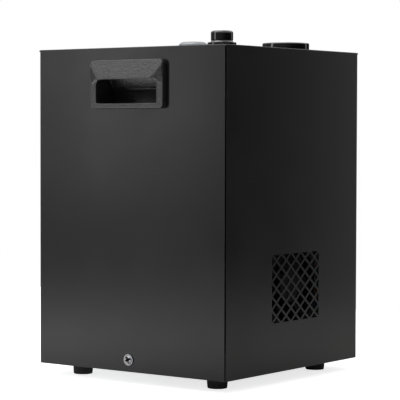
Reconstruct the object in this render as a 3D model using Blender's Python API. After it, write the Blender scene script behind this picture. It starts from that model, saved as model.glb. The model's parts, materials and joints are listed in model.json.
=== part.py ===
"""An upright fog machine that blows upwards, modelled as the pieces it comes apart into.

Metres, +Z up. The origin lies on the floor under the middle of the case, and the front,
with the grille, faces -Y. Left and right are the two handle sides, at -X and +X.
"""

import math

import bmesh
import bpy
from mathutils import Matrix, Vector

# Case
BODY = 0.220              # width and depth of the square case
FOOT_HEIGHT = 0.011
CASE_TOP = 0.310          # upper face of the top plate
SHEET = 0.0012            # steel sheet of the cover
FLOOR_SHEET = 0.0015      # steel sheet of the tray
FOLD = 0.0010             # outer radius of the folds round the top
SEAM = 0.00135            # open butt seam down each vertical corner
GAP = 0.0003              # clearance between pieces that touch
TRAY_FLANGE_TOP = 0.036

# Feet and cover screws
FOOT_AT = (0.081, 0.080)
FOOT_TOP_RADIUS = 0.010
FOOT_TIP_RADIUS = 0.009
FOOT_HOLE = 0.0023
COVER_SCREW_HEIGHT = 0.0223
COVER_SCREW_HEAD = 0.0051
SCREW_SHANK = 0.0025

# Grille, a lattice of diamonds that half diamonds close at its edges
GRILLE_X = 0.0017
GRILLE_Z = 0.0882
GRILLE_PITCH_X = 0.01586
GRILLE_PITCH_Z = 0.01287
GRILLE_HOLE_X = 0.0125
GRILLE_HOLE_Z = 0.0100
GRILLE_WIDTH = 0.0783
GRILLE_HEIGHT = 0.0629
GRILLE_REACH = 5          # half pitches from the middle to the last column and row
REAR_VENT_Z = 0.215

# Handles
HANDLE_LOW = 0.2536
HANDLE_HIGH = 0.2988
HANDLE_HALF = 0.0432
HANDLE_PROUD = 0.0050
HOOD_PROUD = 0.0033
HOOD_RIDGE_Z = 0.2820
HOOD_RIDGE_HALF = 0.0320
POCKET_LOW = 0.2583
POCKET_MOUTH_TOP = 0.2808
POCKET_HALF = 0.0354
POCKET_DEPTH = 0.0310
POCKET_WALL = 0.0020
POCKET_CEILING = 0.2930
HANDLE_HOLE_LOW = 0.2556  # the hole in the cover that the pocket goes through
HANDLE_HOLE_HIGH = 0.2968

# Top fittings
OUTLET_AT = (0.0, 0.009)
OUTLET_TOP = 0.3194
OUTLET_BORE = 0.008
OUTLET_THREAD = 0.0110
FILLER_AT = (0.062, -0.057)
FILLER_CAP_RADIUS = 0.02275
FILLER_CAP_TOP = 0.3188
NECK_THREAD = 0.0150
NECK_BORE = 0.0100
NECK_LIP = 0.3123         # top of the filler neck, where the seal sits
KNOB_AT = (-0.078, -0.082)
KNOB_TOP = 0.3239
KNOB_FOOT = 0.3110
KNOB_RADIUS = 0.0101
KNOB_SKIRT_RADIUS = 0.0130
POT_THREAD = 0.0045
SHAFT_RADIUS = 0.0030
NUT_LOW = 0.3020          # the two big nuts under the top plate
NUT_HIGH = 0.3085

# Rear panel, sunk behind a window in the back of the cover
WINDOW_HALF = 0.083
WINDOW_LOW = 0.042
WINDOW_HIGH = 0.150
PANEL_FACE = 0.1005       # outer face of the panel's plate
PANEL_RIM = 0.003         # how far the sunk pan reaches past the window
BEHIND_PANEL = 0.084      # how deep the rear fittings reach into the case
INLET_AT = (-0.050, 0.074)
SWITCH_AT = (0.0, 0.074)
BUTTON_AT = (0.038, 0.074)
LAMP_AT = (0.064, 0.074)
DMX_IN_AT = (-0.045, 0.126)
DMX_OUT_AT = (0.005, 0.126)
ROCKER_TILT = math.radians(10)

# Fan
FAN_SIZE = 0.080
FAN_DEPTH = 0.025
FAN_FRONT = -0.1068
FAN_BORE = 0.038
FAN_BLADES = 7
HUB_RADIUS = 0.0155

# Heater, fluid and pump
HEATER_LOW = 0.120
HEATER_HIGH = 0.230
HEATER_HALF_X = 0.026
HEATER_HALF_Y = 0.021
CARTRIDGE_OFFSET = 0.016
CARTRIDGE_RADIUS = 0.0060
CARTRIDGE_LOW = 0.1255
CARTRIDGE_TOP = 0.236
SHIELD_HALF_X = 0.038
SHIELD_HALF_Y = 0.035
SHIELD_TOP = 0.240
STAND_TOP = 0.1135
TANK_LOW_CORNER = (0.044, -0.100, 0.0128)
TANK_HIGH_CORNER = (0.098, 0.020, 0.240)
TANK_WALL = 0.0025
SUCTION_AT = (0.070, 0.005)
PUMP_AT = (0.070, 0.058)
PUMP_BODY_TOP = 0.040
PUMP_GUIDE = 0.0070
PUMP_BORE = 0.0053
PLUNGER_RADIUS = 0.0050
PLUNGER_LOW = 0.046
TUBE_RADIUS = 0.003
TUBE_LEVEL = 0.0270       # height at which both tubes meet the pump
LEAD_RADIUS = 0.0013

# Control board
BOARD_LOW_CORNER = (-0.102, -0.055, 0.0300)
BOARD_HIGH_CORNER = (-0.052, 0.075, 0.0316)

HALF = BODY / 2
INNER = HALF - SHEET
TRAY_HALF = INNER - GAP
TRAY_FLOOR = FOOT_HEIGHT + FLOOR_SHEET
ON_TRAY = TRAY_FLOOR + GAP
ON_TOP = CASE_TOP + GAP
ON_PANEL = PANEL_FACE + GAP


def clear_scene():
    """Remove whatever objects the file opened with."""
    for obj in list(bpy.data.objects):
        bpy.data.objects.remove(obj, do_unlink=True)


def material(name, colour, roughness, metallic=0.0):
    """A plain Principled material."""
    mat = bpy.data.materials.new(name)
    mat.use_nodes = True
    shader = mat.node_tree.nodes["Principled BSDF"]
    shader.inputs["Base Color"].default_value = (*colour, 1.0)
    shader.inputs["Roughness"].default_value = roughness
    shader.inputs["Metallic"].default_value = metallic
    return mat


def add_object(name, bm, pivot=(0, 0, 0)):
    """Store a finished bmesh as an object whose origin is the pivot."""
    bmesh.ops.recalc_face_normals(bm, faces=bm.faces)
    bmesh.ops.translate(bm, vec=-Vector(pivot), verts=bm.verts)
    mesh = bpy.data.meshes.new(name)
    bm.to_mesh(mesh)
    bm.free()
    obj = bpy.data.objects.new(name, mesh)
    obj.location = pivot
    bpy.context.scene.collection.objects.link(obj)
    return obj


def piece(name, bm, finish, pivot=(0, 0, 0)):
    """A sub-part: its own object, in its own material, with round faces shaded smooth."""
    obj = add_object(name, bm, pivot)
    obj.data.materials.append(material(name, *finish))
    obj.data.shade_smooth()
    obj.data.set_sharp_from_angle(angle=math.radians(35))
    return obj


def cutter(name, bm):
    """A guide solid for a Boolean, which isn't a piece of the machine."""
    obj = add_object(name, bm)
    obj.hide_render = True
    obj.display_type = 'WIRE'
    return obj


def boolean(obj, operation, bm):
    """Add or take away a shape with an exact Boolean."""
    guide = cutter(f"{obj.name}_{operation.lower()}_{len(obj.modifiers)}", bm)
    modifier = obj.modifiers.new(guide.name, 'BOOLEAN')
    modifier.operation = operation
    modifier.solver = 'EXACT'
    modifier.object = guide


def cut(obj, bm):
    boolean(obj, 'DIFFERENCE', bm)


def fuse(obj, bm):
    boolean(obj, 'UNION', bm)


def add_box(bm, low, high):
    """Add a box between two corners and return its new vertices."""
    low, high = Vector(low), Vector(high)
    size = Matrix.Diagonal((*(high - low), 1.0))
    place = Matrix.Translation((low + high) / 2)
    return bmesh.ops.create_cube(bm, size=1.0, matrix=place @ size)["verts"]


def box(low, high, bevel=0.0, segments=2):
    """A box, with every edge rounded when a bevel is given."""
    bm = bmesh.new()
    add_box(bm, low, high)
    if bevel:
        bmesh.ops.bevel(bm, geom=bm.edges[:], offset=bevel, segments=segments,
                        profile=0.5, affect='EDGES')
    return bm


def boxes(*corner_pairs):
    """Several separate boxes in one mesh."""
    bm = bmesh.new()
    for low, high in corner_pairs:
        add_box(bm, low, high)
    return bm


def aim(axis):
    """Rotation that takes +Z to the axis letter."""
    turns = {"x": Matrix.Rotation(math.pi / 2, 4, 'Y'),
             "y": Matrix.Rotation(-math.pi / 2, 4, 'X'),
             "z": Matrix.Identity(4)}
    return turns[axis]


def turned(profile, centre=(0, 0, 0), axis="z", sides=20):
    """Spin a (radius, height) outline about an axis through centre.

    An outline that leaves the axis at both ends is a solid; any other is closed to a ring.
    """
    bm = bmesh.new()
    verts = [bm.verts.new((radius, 0, height)) for radius, height in profile]
    edges = [bm.edges.new(pair) for pair in zip(verts, verts[1:])]
    if profile[0][0] > 0 or profile[-1][0] > 0:
        edges.append(bm.edges.new((verts[-1], verts[0])))
    bmesh.ops.spin(bm, geom=verts + edges, cent=(0, 0, 0), axis=(0, 0, 1),
                   angle=math.tau, steps=sides, use_merge=True)
    bmesh.ops.remove_doubles(bm, verts=bm.verts, dist=1e-6)
    bmesh.ops.transform(bm, matrix=Matrix.Translation(centre) @ aim(axis), verts=bm.verts)
    return bm


def rod(radius, start, end, centre=(0, 0, 0), axis="z", sides=20):
    """A plain cylinder from start to end along an axis."""
    outline = [(0, start), (radius, start), (radius, end), (0, end)]
    return turned(outline, centre, axis, sides)


def ring(inner, outer, start, end, centre=(0, 0, 0), axis="z", sides=20):
    """A plain tube wall from start to end along an axis."""
    outline = [(inner, start), (outer, start), (outer, end), (inner, end)]
    return turned(outline, centre, axis, sides)


def add_prism(bm, outline, start, end, axis):
    """Extrude a flat (a, b) outline along an axis: (x, y) on z, (x, z) on y, (y, z) on x."""
    def point(a, b, along):
        return {"x": (along, a, b), "y": (a, along, b), "z": (a, b, along)}[axis]

    face = bm.faces.new([bm.verts.new(point(a, b, start)) for a, b in outline])
    moved = bmesh.ops.extrude_face_region(bm, geom=[face])["geom"]
    step = Vector(point(0, 0, end)) - Vector(point(0, 0, start))
    bmesh.ops.translate(bm, vec=step, verts=[v for v in moved if isinstance(v, bmesh.types.BMVert)])


def prism(outline, start, end, axis="z"):
    """One extruded outline."""
    bm = bmesh.new()
    add_prism(bm, outline, start, end, axis)
    return bm


def rounded_rectangle(half, low, high, radius, steps=3):
    """Points round a rectangle from -half to half and low to high, with round corners."""
    points = []
    corners = [(half - radius, high - radius, 0), (-half + radius, high - radius, 1),
               (-half + radius, low + radius, 2), (half - radius, low + radius, 3)]
    for centre_a, centre_b, quarter in corners:
        for step in range(steps + 1):
            angle = (quarter + step / steps) * math.pi / 2
            points.append((centre_a + radius * math.cos(angle), centre_b + radius * math.sin(angle)))
    return points


def hex_nut(name, centre, across_flats, hole, low, high, finish):
    """A hexagon nut with a plain hole."""
    reach = across_flats / 2 / math.cos(math.pi / 6)
    outline = [(centre[0] + reach * math.cos(math.tau * i / 6),
                centre[1] + reach * math.sin(math.tau * i / 6)) for i in range(6)]
    nut = piece(name, prism(outline, low, high), finish)
    cut(nut, rod(hole, low - 0.001, high + 0.001, (*centre, 0)))


def smooth_route(corners, spacing):
    """Points a fixed step apart along a Catmull-Rom curve through the route's corners."""
    knots = [Vector(corner) for corner in corners]
    knots = [2 * knots[0] - knots[1]] + knots + [2 * knots[-1] - knots[-2]]
    points = []
    for before, here, there, after in zip(knots, knots[1:], knots[2:], knots[3:]):
        count = max(1, round((there - here).length / spacing))
        for step in range(count):
            t = step / count
            points.append(0.5 * (2 * here + (there - before) * t
                                 + (2 * before - 5 * here + 4 * there - after) * t ** 2
                                 + (3 * here - before - 3 * there + after) * t ** 3))
    return points + [knots[-2]]


def hose(name, corners, radius, spacing, finish):
    """A round tube or wire along a smooth route, with filled ends."""
    curve = bpy.data.curves.new(name, 'CURVE')
    curve.dimensions = '3D'
    curve.bevel_depth = radius
    curve.bevel_resolution = 2
    curve.use_fill_caps = True
    curve.render_resolution_u = 0
    points = smooth_route(corners, spacing)
    spline = curve.splines.new('POLY')
    spline.points.add(len(points) - 1)
    for target, point in zip(spline.points, points):
        target.co = (*point, 1.0)
    obj = bpy.data.objects.new(name, curve)
    obj.data.materials.append(material(name, *finish))
    bpy.context.scene.collection.objects.link(obj)


# Finishes: linear colour, roughness, metallic
BLACK_COAT = ((0.020, 0.020, 0.021), 0.45)
BLACK_PLASTIC = ((0.016, 0.016, 0.017), 0.55)
GLOSS_BLACK = ((0.010, 0.010, 0.011), 0.15)
RUBBER = ((0.018, 0.018, 0.018), 0.85)
CHROME = ((0.70, 0.70, 0.72), 0.15, 1.0)
ZINC = ((0.55, 0.56, 0.58), 0.35, 1.0)
ALUMINIUM = ((0.62, 0.63, 0.65), 0.35, 1.0)
CAST = ((0.45, 0.45, 0.46), 0.55, 1.0)
COPPER = ((0.60, 0.28, 0.14), 0.35, 1.0)
BRASS = ((0.66, 0.48, 0.20), 0.30, 1.0)
MILKY = ((0.75, 0.77, 0.74), 0.45)
CERAMIC = ((0.80, 0.77, 0.70), 0.60)
GREEN_BOARD = ((0.02, 0.14, 0.05), 0.45)
CLEAR_TUBE = ((0.62, 0.66, 0.66), 0.25)
RED = ((0.55, 0.02, 0.02), 0.30)


def clipped(points, axis, limit, side):
    """The part of a convex outline on the inner side of one straight line."""
    kept = []
    for here, there in zip(points, points[1:] + points[:1]):
        depth, next_depth = (side * (limit - point[axis]) for point in (here, there))
        if depth >= 0:
            kept.append(here)
        if depth * next_depth < 0:
            share = depth / (depth - next_depth)
            kept.append(tuple(a + (b - a) * share for a, b in zip(here, there)))
    return kept


def diamond_lattice(centre_x, centre_z, start, end):
    """Diamond holes in a staggered lattice, trimmed to the grille's rectangle."""
    bm = bmesh.new()
    half_x, half_z = GRILLE_HOLE_X / 2, GRILLE_HOLE_Z / 2
    for column in range(-GRILLE_REACH, GRILLE_REACH + 1):
        for row in range(-GRILLE_REACH, GRILLE_REACH + 1):
            if (column + row) % 2 == 0:
                continue
            x, z = column * GRILLE_PITCH_X / 2, row * GRILLE_PITCH_Z / 2
            outline = [(x - half_x, z), (x, z - half_z), (x + half_x, z), (x, z + half_z)]
            for axis, size in ((0, GRILLE_WIDTH), (1, GRILLE_HEIGHT)):
                for side in (-1, 1):
                    outline = clipped(outline, axis, side * size / 2, side)
            outline = [(centre_x + a, centre_z + b) for a, b in outline]
            add_prism(bm, outline, start, end, "y")
    return bm


def folded_box(low, high, top_bevel):
    """A box whose top edges are folded round a small radius."""
    bm = bmesh.new()
    add_box(bm, low, high)
    top = [edge for edge in bm.edges if all(v.co.z > high[2] - 1e-6 for v in edge.verts)]
    bmesh.ops.bevel(bm, geom=top, offset=top_bevel, segments=2, profile=0.5, affect='EDGES')
    return bm


def build_cover():
    """Five-sided cover: open below, butt seams at its corners, vents, window and holes."""
    cover = piece("cover_shell", folded_box((-HALF, -HALF, FOOT_HEIGHT), (HALF, HALF, CASE_TOP), FOLD),
                  BLACK_COAT)
    cut(cover, box((-INNER, -INNER, 0), (INNER, INNER, CASE_TOP - SHEET)))
    beyond = HALF + 0.002
    seams = [((x, y, 0), (x + SEAM + 0.002, y + SEAM + 0.002, CASE_TOP - 0.0017))
             for x in (-beyond, HALF - SEAM) for y in (-beyond, HALF - SEAM)]
    cut(cover, boxes(*seams))
    cut(cover, diamond_lattice(GRILLE_X, GRILLE_Z, -HALF - 0.002, -HALF + 0.002))
    cut(cover, diamond_lattice(0, REAR_VENT_Z, HALF - 0.002, HALF + 0.002))
    cut(cover, box((-WINDOW_HALF, HALF - 0.003, WINDOW_LOW), (WINDOW_HALF, HALF + 0.003, WINDOW_HIGH)))
    for side in (-1, 1):
        across = sorted((side * (HALF - 0.003), side * (HALF + 0.003)))
        cut(cover, box((across[0], -POCKET_HALF - 0.005, HANDLE_HOLE_LOW),
                       (across[1], POCKET_HALF + 0.005, HANDLE_HOLE_HIGH)))
        cut(cover, rod(SCREW_SHANK + GAP, *across, (0, 0, COVER_SCREW_HEIGHT), "x"))
    through = (CASE_TOP - 0.010, CASE_TOP + 0.010)
    cut(cover, rod(OUTLET_THREAD + GAP, *through, (*OUTLET_AT, 0)))
    cut(cover, rod(NECK_THREAD + GAP, *through, (*FILLER_AT, 0)))
    cut(cover, rod(POT_THREAD + GAP, *through, (*KNOB_AT, 0), sides=16))


def build_tray():
    """Base tray with an upturned flange that the cover slides over."""
    tray = piece("base_tray", box((-TRAY_HALF, -TRAY_HALF, FOOT_HEIGHT),
                                  (TRAY_HALF, TRAY_HALF, TRAY_FLANGE_TOP)), ZINC)
    inside = TRAY_HALF - SHEET
    cut(tray, box((-inside, -inside, TRAY_FLOOR), (inside, inside, TRAY_FLANGE_TOP + 0.01)))
    for side in (-1, 1):
        across = sorted((side * (TRAY_HALF - 0.003), side * (TRAY_HALF + 0.003)))
        cut(tray, rod(SCREW_SHANK + GAP, *across, (0, 0, COVER_SCREW_HEIGHT), "x"))
        for end in (-1, 1):
            centre = (side * FOOT_AT[0], end * FOOT_AT[1], 0)
            cut(tray, rod(FOOT_HOLE, FOOT_HEIGHT - 0.003, FOOT_HEIGHT + 0.004, centre, sides=16))


def build_feet():
    """Tapered rubber feet, each with a screw up through it into the tray."""
    top = FOOT_HEIGHT - GAP
    well, well_top, head = 0.0050, 0.0050, 0.0040
    outline = [(FOOT_HOLE, top), (FOOT_TOP_RADIUS, top), (FOOT_TIP_RADIUS, 0.0006),
               (FOOT_TIP_RADIUS - 0.0006, 0), (well, 0), (well, well_top), (FOOT_HOLE, well_top)]
    screw = [(0, 0.0024), (head, 0.0024), (head, well_top - GAP), (FOOT_HOLE - GAP, well_top - GAP),
             (FOOT_HOLE - GAP, TRAY_FLOOR), (0, TRAY_FLOOR)]
    for end, end_name in ((-1, "front"), (1, "rear")):
        for side, side_name in ((-1, "left"), (1, "right")):
            centre = (side * FOOT_AT[0], end * FOOT_AT[1], 0)
            piece(f"foot_{end_name}_{side_name}", turned(outline, centre), RUBBER)
            piece(f"foot_screw_{end_name}_{side_name}", turned(screw, centre, sides=12), ZINC)


def build_cover_screws():
    """Cross-head pan screws at the foot of each handle side, and the clip nuts they enter."""
    seat = HALF + GAP
    tip = seat - 0.0088
    for side, name in ((-1, "left"), (1, "right")):
        outline = [(0, tip), (SCREW_SHANK, tip), (SCREW_SHANK, seat), (COVER_SCREW_HEAD, seat),
                   (COVER_SCREW_HEAD, seat + 0.0010), (COVER_SCREW_HEAD - 0.0006, seat + 0.0017),
                   (COVER_SCREW_HEAD - 0.0020, seat + 0.0022), (0, seat + 0.0024)]
        centre = (0, 0, COVER_SCREW_HEIGHT)
        shape = turned([(radius, side * x) for radius, x in outline], centre, "x")
        screw = piece(f"cover_screw_{name}", shape, CHROME)
        recess = sorted((side * (seat + 0.0008), side * (seat + 0.004)))
        arms = [(0.0024, 0.0005), (0.0005, 0.0024)]
        for half_y, half_z in arms:
            cut(screw, box((recess[0], -half_y, COVER_SCREW_HEIGHT - half_z),
                           (recess[1], half_y, COVER_SCREW_HEIGHT + half_z)))
        inner_face = TRAY_HALF - SHEET - GAP
        across = sorted((side * inner_face, side * (inner_face - 0.004)))
        nut = piece(f"clip_nut_{name}", box((across[0], -0.006, COVER_SCREW_HEIGHT - 0.005),
                                            (across[1], 0.006, COVER_SCREW_HEIGHT + 0.005)), ZINC)
        cut(nut, rod(SCREW_SHANK + GAP, across[0] - 0.001, across[1] + 0.001, centre, "x"))


def handle_shell(side):
    """Frame and pocket of a handle as a loft through rounded rectangles along X."""
    wall = POCKET_WALL
    pocket = rounded_rectangle(POCKET_HALF + wall, POCKET_LOW - wall, POCKET_CEILING + 0.003, 0.003)
    foot = rounded_rectangle(HANDLE_HALF, HANDLE_LOW, HANDLE_HIGH, 0.0045)
    face = rounded_rectangle(HANDLE_HALF - 0.001, HANDLE_LOW + 0.0008, HANDLE_HIGH - 0.0008, 0.0045)
    back = HALF + HANDLE_PROUD - POCKET_DEPTH - wall
    loops = [(back, pocket), (HALF + GAP, pocket), (HALF + GAP, foot), (HALF + HANDLE_PROUD, face)]
    bm = bmesh.new()
    rows = [[bm.verts.new((side * x, y, z)) for y, z in points] for x, points in loops]
    for row, following in zip(rows, rows[1:]):
        for i in range(len(row)):
            j = (i + 1) % len(row)
            bm.faces.new((row[i], row[j], following[j], following[i]))
    bm.faces.new(rows[0])
    bm.faces.new(rows[-1])
    return bm


def handle_hood(side):
    """Hipped hood over the pocket: a trapezoid slope and two triangular ends."""
    front = HALF + HANDLE_PROUD
    ridge = front + HOOD_PROUD
    half = HANDLE_HALF - 0.0016
    top = HANDLE_HIGH - 0.0014
    low = HOOD_RIDGE_Z - 0.0060
    root = front - 0.0008
    points = []
    for end in (-1, 1):
        points += [(front, end * half, top), (front, end * half, low),
                   (ridge, end * HOOD_RIDGE_HALF, HOOD_RIDGE_Z),
                   (root, end * half, top), (root, end * half, low)]
    bm = bmesh.new()
    for x, y, z in points:
        bm.verts.new((side * x, y, z))
    bmesh.ops.convex_hull(bm, input=bm.verts)
    return bm


def pocket_hollow(side):
    """The finger pocket: a low mouth, a kinked back wall and a ceiling up behind the hood."""
    mouth = HALF + HANDLE_PROUD
    back = mouth - POCKET_DEPTH
    outline = [(mouth + 0.010, POCKET_LOW), (back, POCKET_LOW), (back + 0.0060, 0.2710),
               (back + 0.0062, 0.2735), (back + 0.0114, 0.2826),
               (back + 0.0130, POCKET_CEILING), (mouth - 0.005, POCKET_CEILING),
               (mouth - 0.0035, POCKET_MOUTH_TOP),
               (mouth + 0.010, POCKET_MOUTH_TOP)]
    return prism([(side * x, z) for x, z in outline], -POCKET_HALF, POCKET_HALF, "y")


def build_handles():
    for side, name in ((-1, "left"), (1, "right")):
        handle = piece(f"handle_{name}", handle_shell(side), BLACK_PLASTIC)
        fuse(handle, handle_hood(side))
        cut(handle, pocket_hollow(side))


def build_outlet():
    """Metal collar through the top plate, its locknut, and the pipe from the heater."""
    outer, flange, low = 0.0142, 0.0180, 0.294
    outline = [(OUTLET_BORE, low), (OUTLET_THREAD, low), (OUTLET_THREAD, ON_TOP), (flange, ON_TOP),
               (flange, 0.3118), (flange - 0.0008, 0.3124), (outer, 0.3124), (outer, 0.3170),
               (outer - 0.0007, 0.3186), (outer - 0.0022, OUTLET_TOP), (0.0100, OUTLET_TOP),
               (OUTLET_BORE, 0.3170)]
    piece("outlet_collar", turned(outline, (*OUTLET_AT, 0), sides=24), ALUMINIUM)
    hex_nut("collar_nut", OUTLET_AT, 0.032, OUTLET_THREAD + GAP, NUT_LOW, NUT_HIGH, ZINC)
    pipe = ring(0.005, OUTLET_BORE - GAP, HEATER_HIGH + GAP, 0.306, (*OUTLET_AT, 0))
    piece("outlet_pipe", pipe, COPPER)


def build_heater():
    """Cast heater block with its cartridges, thermostat, stand, insulators and shield."""
    x, y = OUTLET_AT
    block = piece("heater_block", box((x - HEATER_HALF_X, y - HEATER_HALF_Y, HEATER_LOW),
                                      (x + HEATER_HALF_X, y + HEATER_HALF_Y, HEATER_HIGH), 0.002, 1), CAST)
    cut(block, rod(0.004, HEATER_LOW - 0.01, HEATER_HIGH + 0.01, (x, y, 0), sides=16))
    for side, name in ((-1, "left"), (1, "right")):
        centre = (x + side * CARTRIDGE_OFFSET, y, 0)
        cut(block, rod(CARTRIDGE_RADIUS + GAP, CARTRIDGE_LOW - 0.0005, HEATER_HIGH + 0.01, centre, sides=16))
        piece(f"heater_cartridge_{name}",
              rod(CARTRIDGE_RADIUS, CARTRIDGE_LOW, CARTRIDGE_TOP, centre, sides=16), ZINC)
        low_x, high_x = sorted((x + side * 0.010, x + side * 0.020))
        piece(f"insulator_{name}", box((low_x, y - 0.017, STAND_TOP + GAP),
                                       (high_x, y + 0.017, HEATER_LOW - GAP)), CERAMIC)

    front = y - HEATER_HALF_Y
    piece("thermostat", turned([(0, -0.006), (0.006, -0.006), (0.008, -0.0045), (0.008, -GAP), (0, -GAP)],
                               (x, front, 0.190), "y", 20), BRASS)

    half_x, half_y = SHIELD_HALF_X, SHIELD_HALF_Y
    shield = piece("heat_shield", box((x - half_x, y - half_y, STAND_TOP + GAP),
                                      (x + half_x, y + half_y, SHIELD_TOP)), ALUMINIUM)
    skin = 0.001
    cut(shield, box((x - half_x + skin, y - half_y + skin, STAND_TOP - 0.01),
                    (x + half_x - skin, y + half_y - skin, SHIELD_TOP + 0.01)))

    leg, toe = 0.0015, 0.012
    outline = [(-half_x, ON_TRAY), (-half_x + toe, ON_TRAY), (-half_x + toe, ON_TRAY + leg),
               (-half_x + leg, ON_TRAY + leg), (-half_x + leg, STAND_TOP - leg),
               (half_x - leg, STAND_TOP - leg), (half_x - leg, ON_TRAY + leg), (half_x - toe, ON_TRAY + leg),
               (half_x - toe, ON_TRAY), (half_x, ON_TRAY), (half_x, STAND_TOP), (-half_x, STAND_TOP)]
    stand = piece("heater_stand", prism([(x + a, z) for a, z in outline], y - half_y, y + half_y, "y"), ZINC)
    cut(stand, rod(0.005, STAND_TOP - 0.01, STAND_TOP + 0.01, (x, y, 0), sides=16))


def build_tank():
    """Hollow fluid tank on the tray, with its filler neck, locknut, intake filter and seal."""
    low, high = Vector(TANK_LOW_CORNER), Vector(TANK_HIGH_CORNER)
    wall = Vector((TANK_WALL,) * 3)
    tank = piece("fluid_tank", box(low, high, 0.004, 2), MILKY)
    cut(tank, box(low + wall, high - wall))
    roof = (high.z - 0.01, high.z + 0.01)
    cut(tank, rod(NECK_BORE + GAP, *roof, (*FILLER_AT, 0), sides=24))
    cut(tank, rod(TUBE_RADIUS + 0.001, *roof, (*SUCTION_AT, 0), sides=16))

    spout, funnel, flange = 0.0080, 0.0125, 0.0200
    outline = [(spout, 0.232), (NECK_BORE, 0.232), (NECK_BORE, 0.243), (NECK_THREAD, 0.243),
               (NECK_THREAD, ON_TOP), (flange, ON_TOP), (flange, NECK_LIP), (funnel, NECK_LIP),
               (funnel, 0.246), (spout, 0.246)]
    piece("filler_neck", turned(outline, (*FILLER_AT, 0)), BLACK_PLASTIC)
    hex_nut("neck_nut", FILLER_AT, 0.040, NECK_THREAD + GAP, NUT_LOW, NUT_HIGH, BLACK_PLASTIC)
    piece("intake_filter", rod(0.006, 0.0180, 0.0320, (*SUCTION_AT, 0), sides=16), BRASS)
    seat = NECK_LIP + GAP
    seal = ring(0.0130, 0.0190, seat, seat + 0.0015, (*FILLER_AT, 0))
    piece("cap_seal", seal, RUBBER, (*FILLER_AT, seat))


def build_filler_cap():
    """Low screw cap: a disc with a skirt over the neck's flange and a spigot into its mouth."""
    under, skirt_foot, spigot_foot = 0.3144, 0.3109, 0.3110
    edge, skirt_bore, spigot = FILLER_CAP_RADIUS, 0.0206, 0.0115
    outline = [(0, spigot_foot), (spigot - 0.0003, spigot_foot), (spigot, spigot_foot + 0.0003),
               (spigot, under), (skirt_bore, under),
               (skirt_bore, skirt_foot), (edge, skirt_foot), (edge, FILLER_CAP_TOP - 0.0022),
               (edge - 0.0006, FILLER_CAP_TOP - 0.0007), (edge - 0.0022, FILLER_CAP_TOP), (0, FILLER_CAP_TOP)]
    piece("filler_cap", turned(outline, (*FILLER_AT, 0), sides=28), GLOSS_BLACK, (*FILLER_AT, under))


def build_output_knob():
    """Potentiometer under the top plate, with its nut, shaft and skirted knob."""
    x, y = KNOB_AT
    pot = piece("potentiometer", box((x - 0.008, y - 0.008, 0.296), (x + 0.008, y + 0.008, 0.3084)), ZINC)
    fuse(pot, rod(POT_THREAD, 0.305, 0.3135, (x, y, 0), sides=16))
    cut(pot, rod(SHAFT_RADIUS + GAP, 0.2995, 0.320, (x, y, 0), sides=16))
    hex_nut("pot_nut", KNOB_AT, 0.0130, POT_THREAD + GAP, ON_TOP, 0.3123, ZINC)
    piece("pot_shaft", rod(SHAFT_RADIUS, 0.300, 0.321, (x, y, 0), sides=16), ALUMINIUM, (x, y, 0.300))
    radius, skirt, bore, recess = KNOB_RADIUS, KNOB_SKIRT_RADIUS, SHAFT_RADIUS + GAP, 0.0085
    outline = [(bore, 0.3140), (recess, 0.3140), (recess, KNOB_FOOT), (skirt, KNOB_FOOT), (skirt, 0.3132),
               (radius + 0.0005, 0.3134), (radius - 0.0006, 0.3149), (radius, 0.3153),
               (radius, KNOB_TOP - 0.0022), (radius - 0.0007, KNOB_TOP - 0.0007),
               (radius - 0.0022, KNOB_TOP), (0, KNOB_TOP), (0, 0.3213), (bore, 0.3213)]
    piece("output_knob", turned(outline, (x, y, 0), sides=24), GLOSS_BLACK, (x, y, KNOB_FOOT))


def build_rear_panel():
    """Sunk steel pan behind the cover's window, with a tab down to the tray."""
    rim_half = WINDOW_HALF + PANEL_RIM
    low, high = WINDOW_LOW - PANEL_RIM, WINDOW_HIGH + PANEL_RIM
    behind = PANEL_FACE - SHEET
    panel = piece("rear_panel", box((-rim_half, behind, low), (rim_half, TRAY_HALF, high)), BLACK_COAT)
    fuse(panel, box((-0.060, behind, ON_TRAY), (0.060, PANEL_FACE, low + 0.010)))
    cut(panel, box((-rim_half + SHEET, PANEL_FACE, low + SHEET), (rim_half - SHEET, HALF, high - SHEET)))
    deep = (behind - 0.01, PANEL_FACE + 0.001)
    x, z = INLET_AT
    cut(panel, box((x - 0.0163, deep[0], z - 0.0143), (x + 0.0163, deep[1], z + 0.0143)))
    x, z = SWITCH_AT
    cut(panel, box((x - 0.0098, deep[0], z - 0.0138), (x + 0.0098, deep[1], z + 0.0138)))
    for (x, z), radius in ((BUTTON_AT, 0.0080), (LAMP_AT, 0.0031), (DMX_IN_AT, 0.0121), (DMX_OUT_AT, 0.0121)):
        cut(panel, rod(radius, *deep, (x, 0, z), "y", 18))


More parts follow.
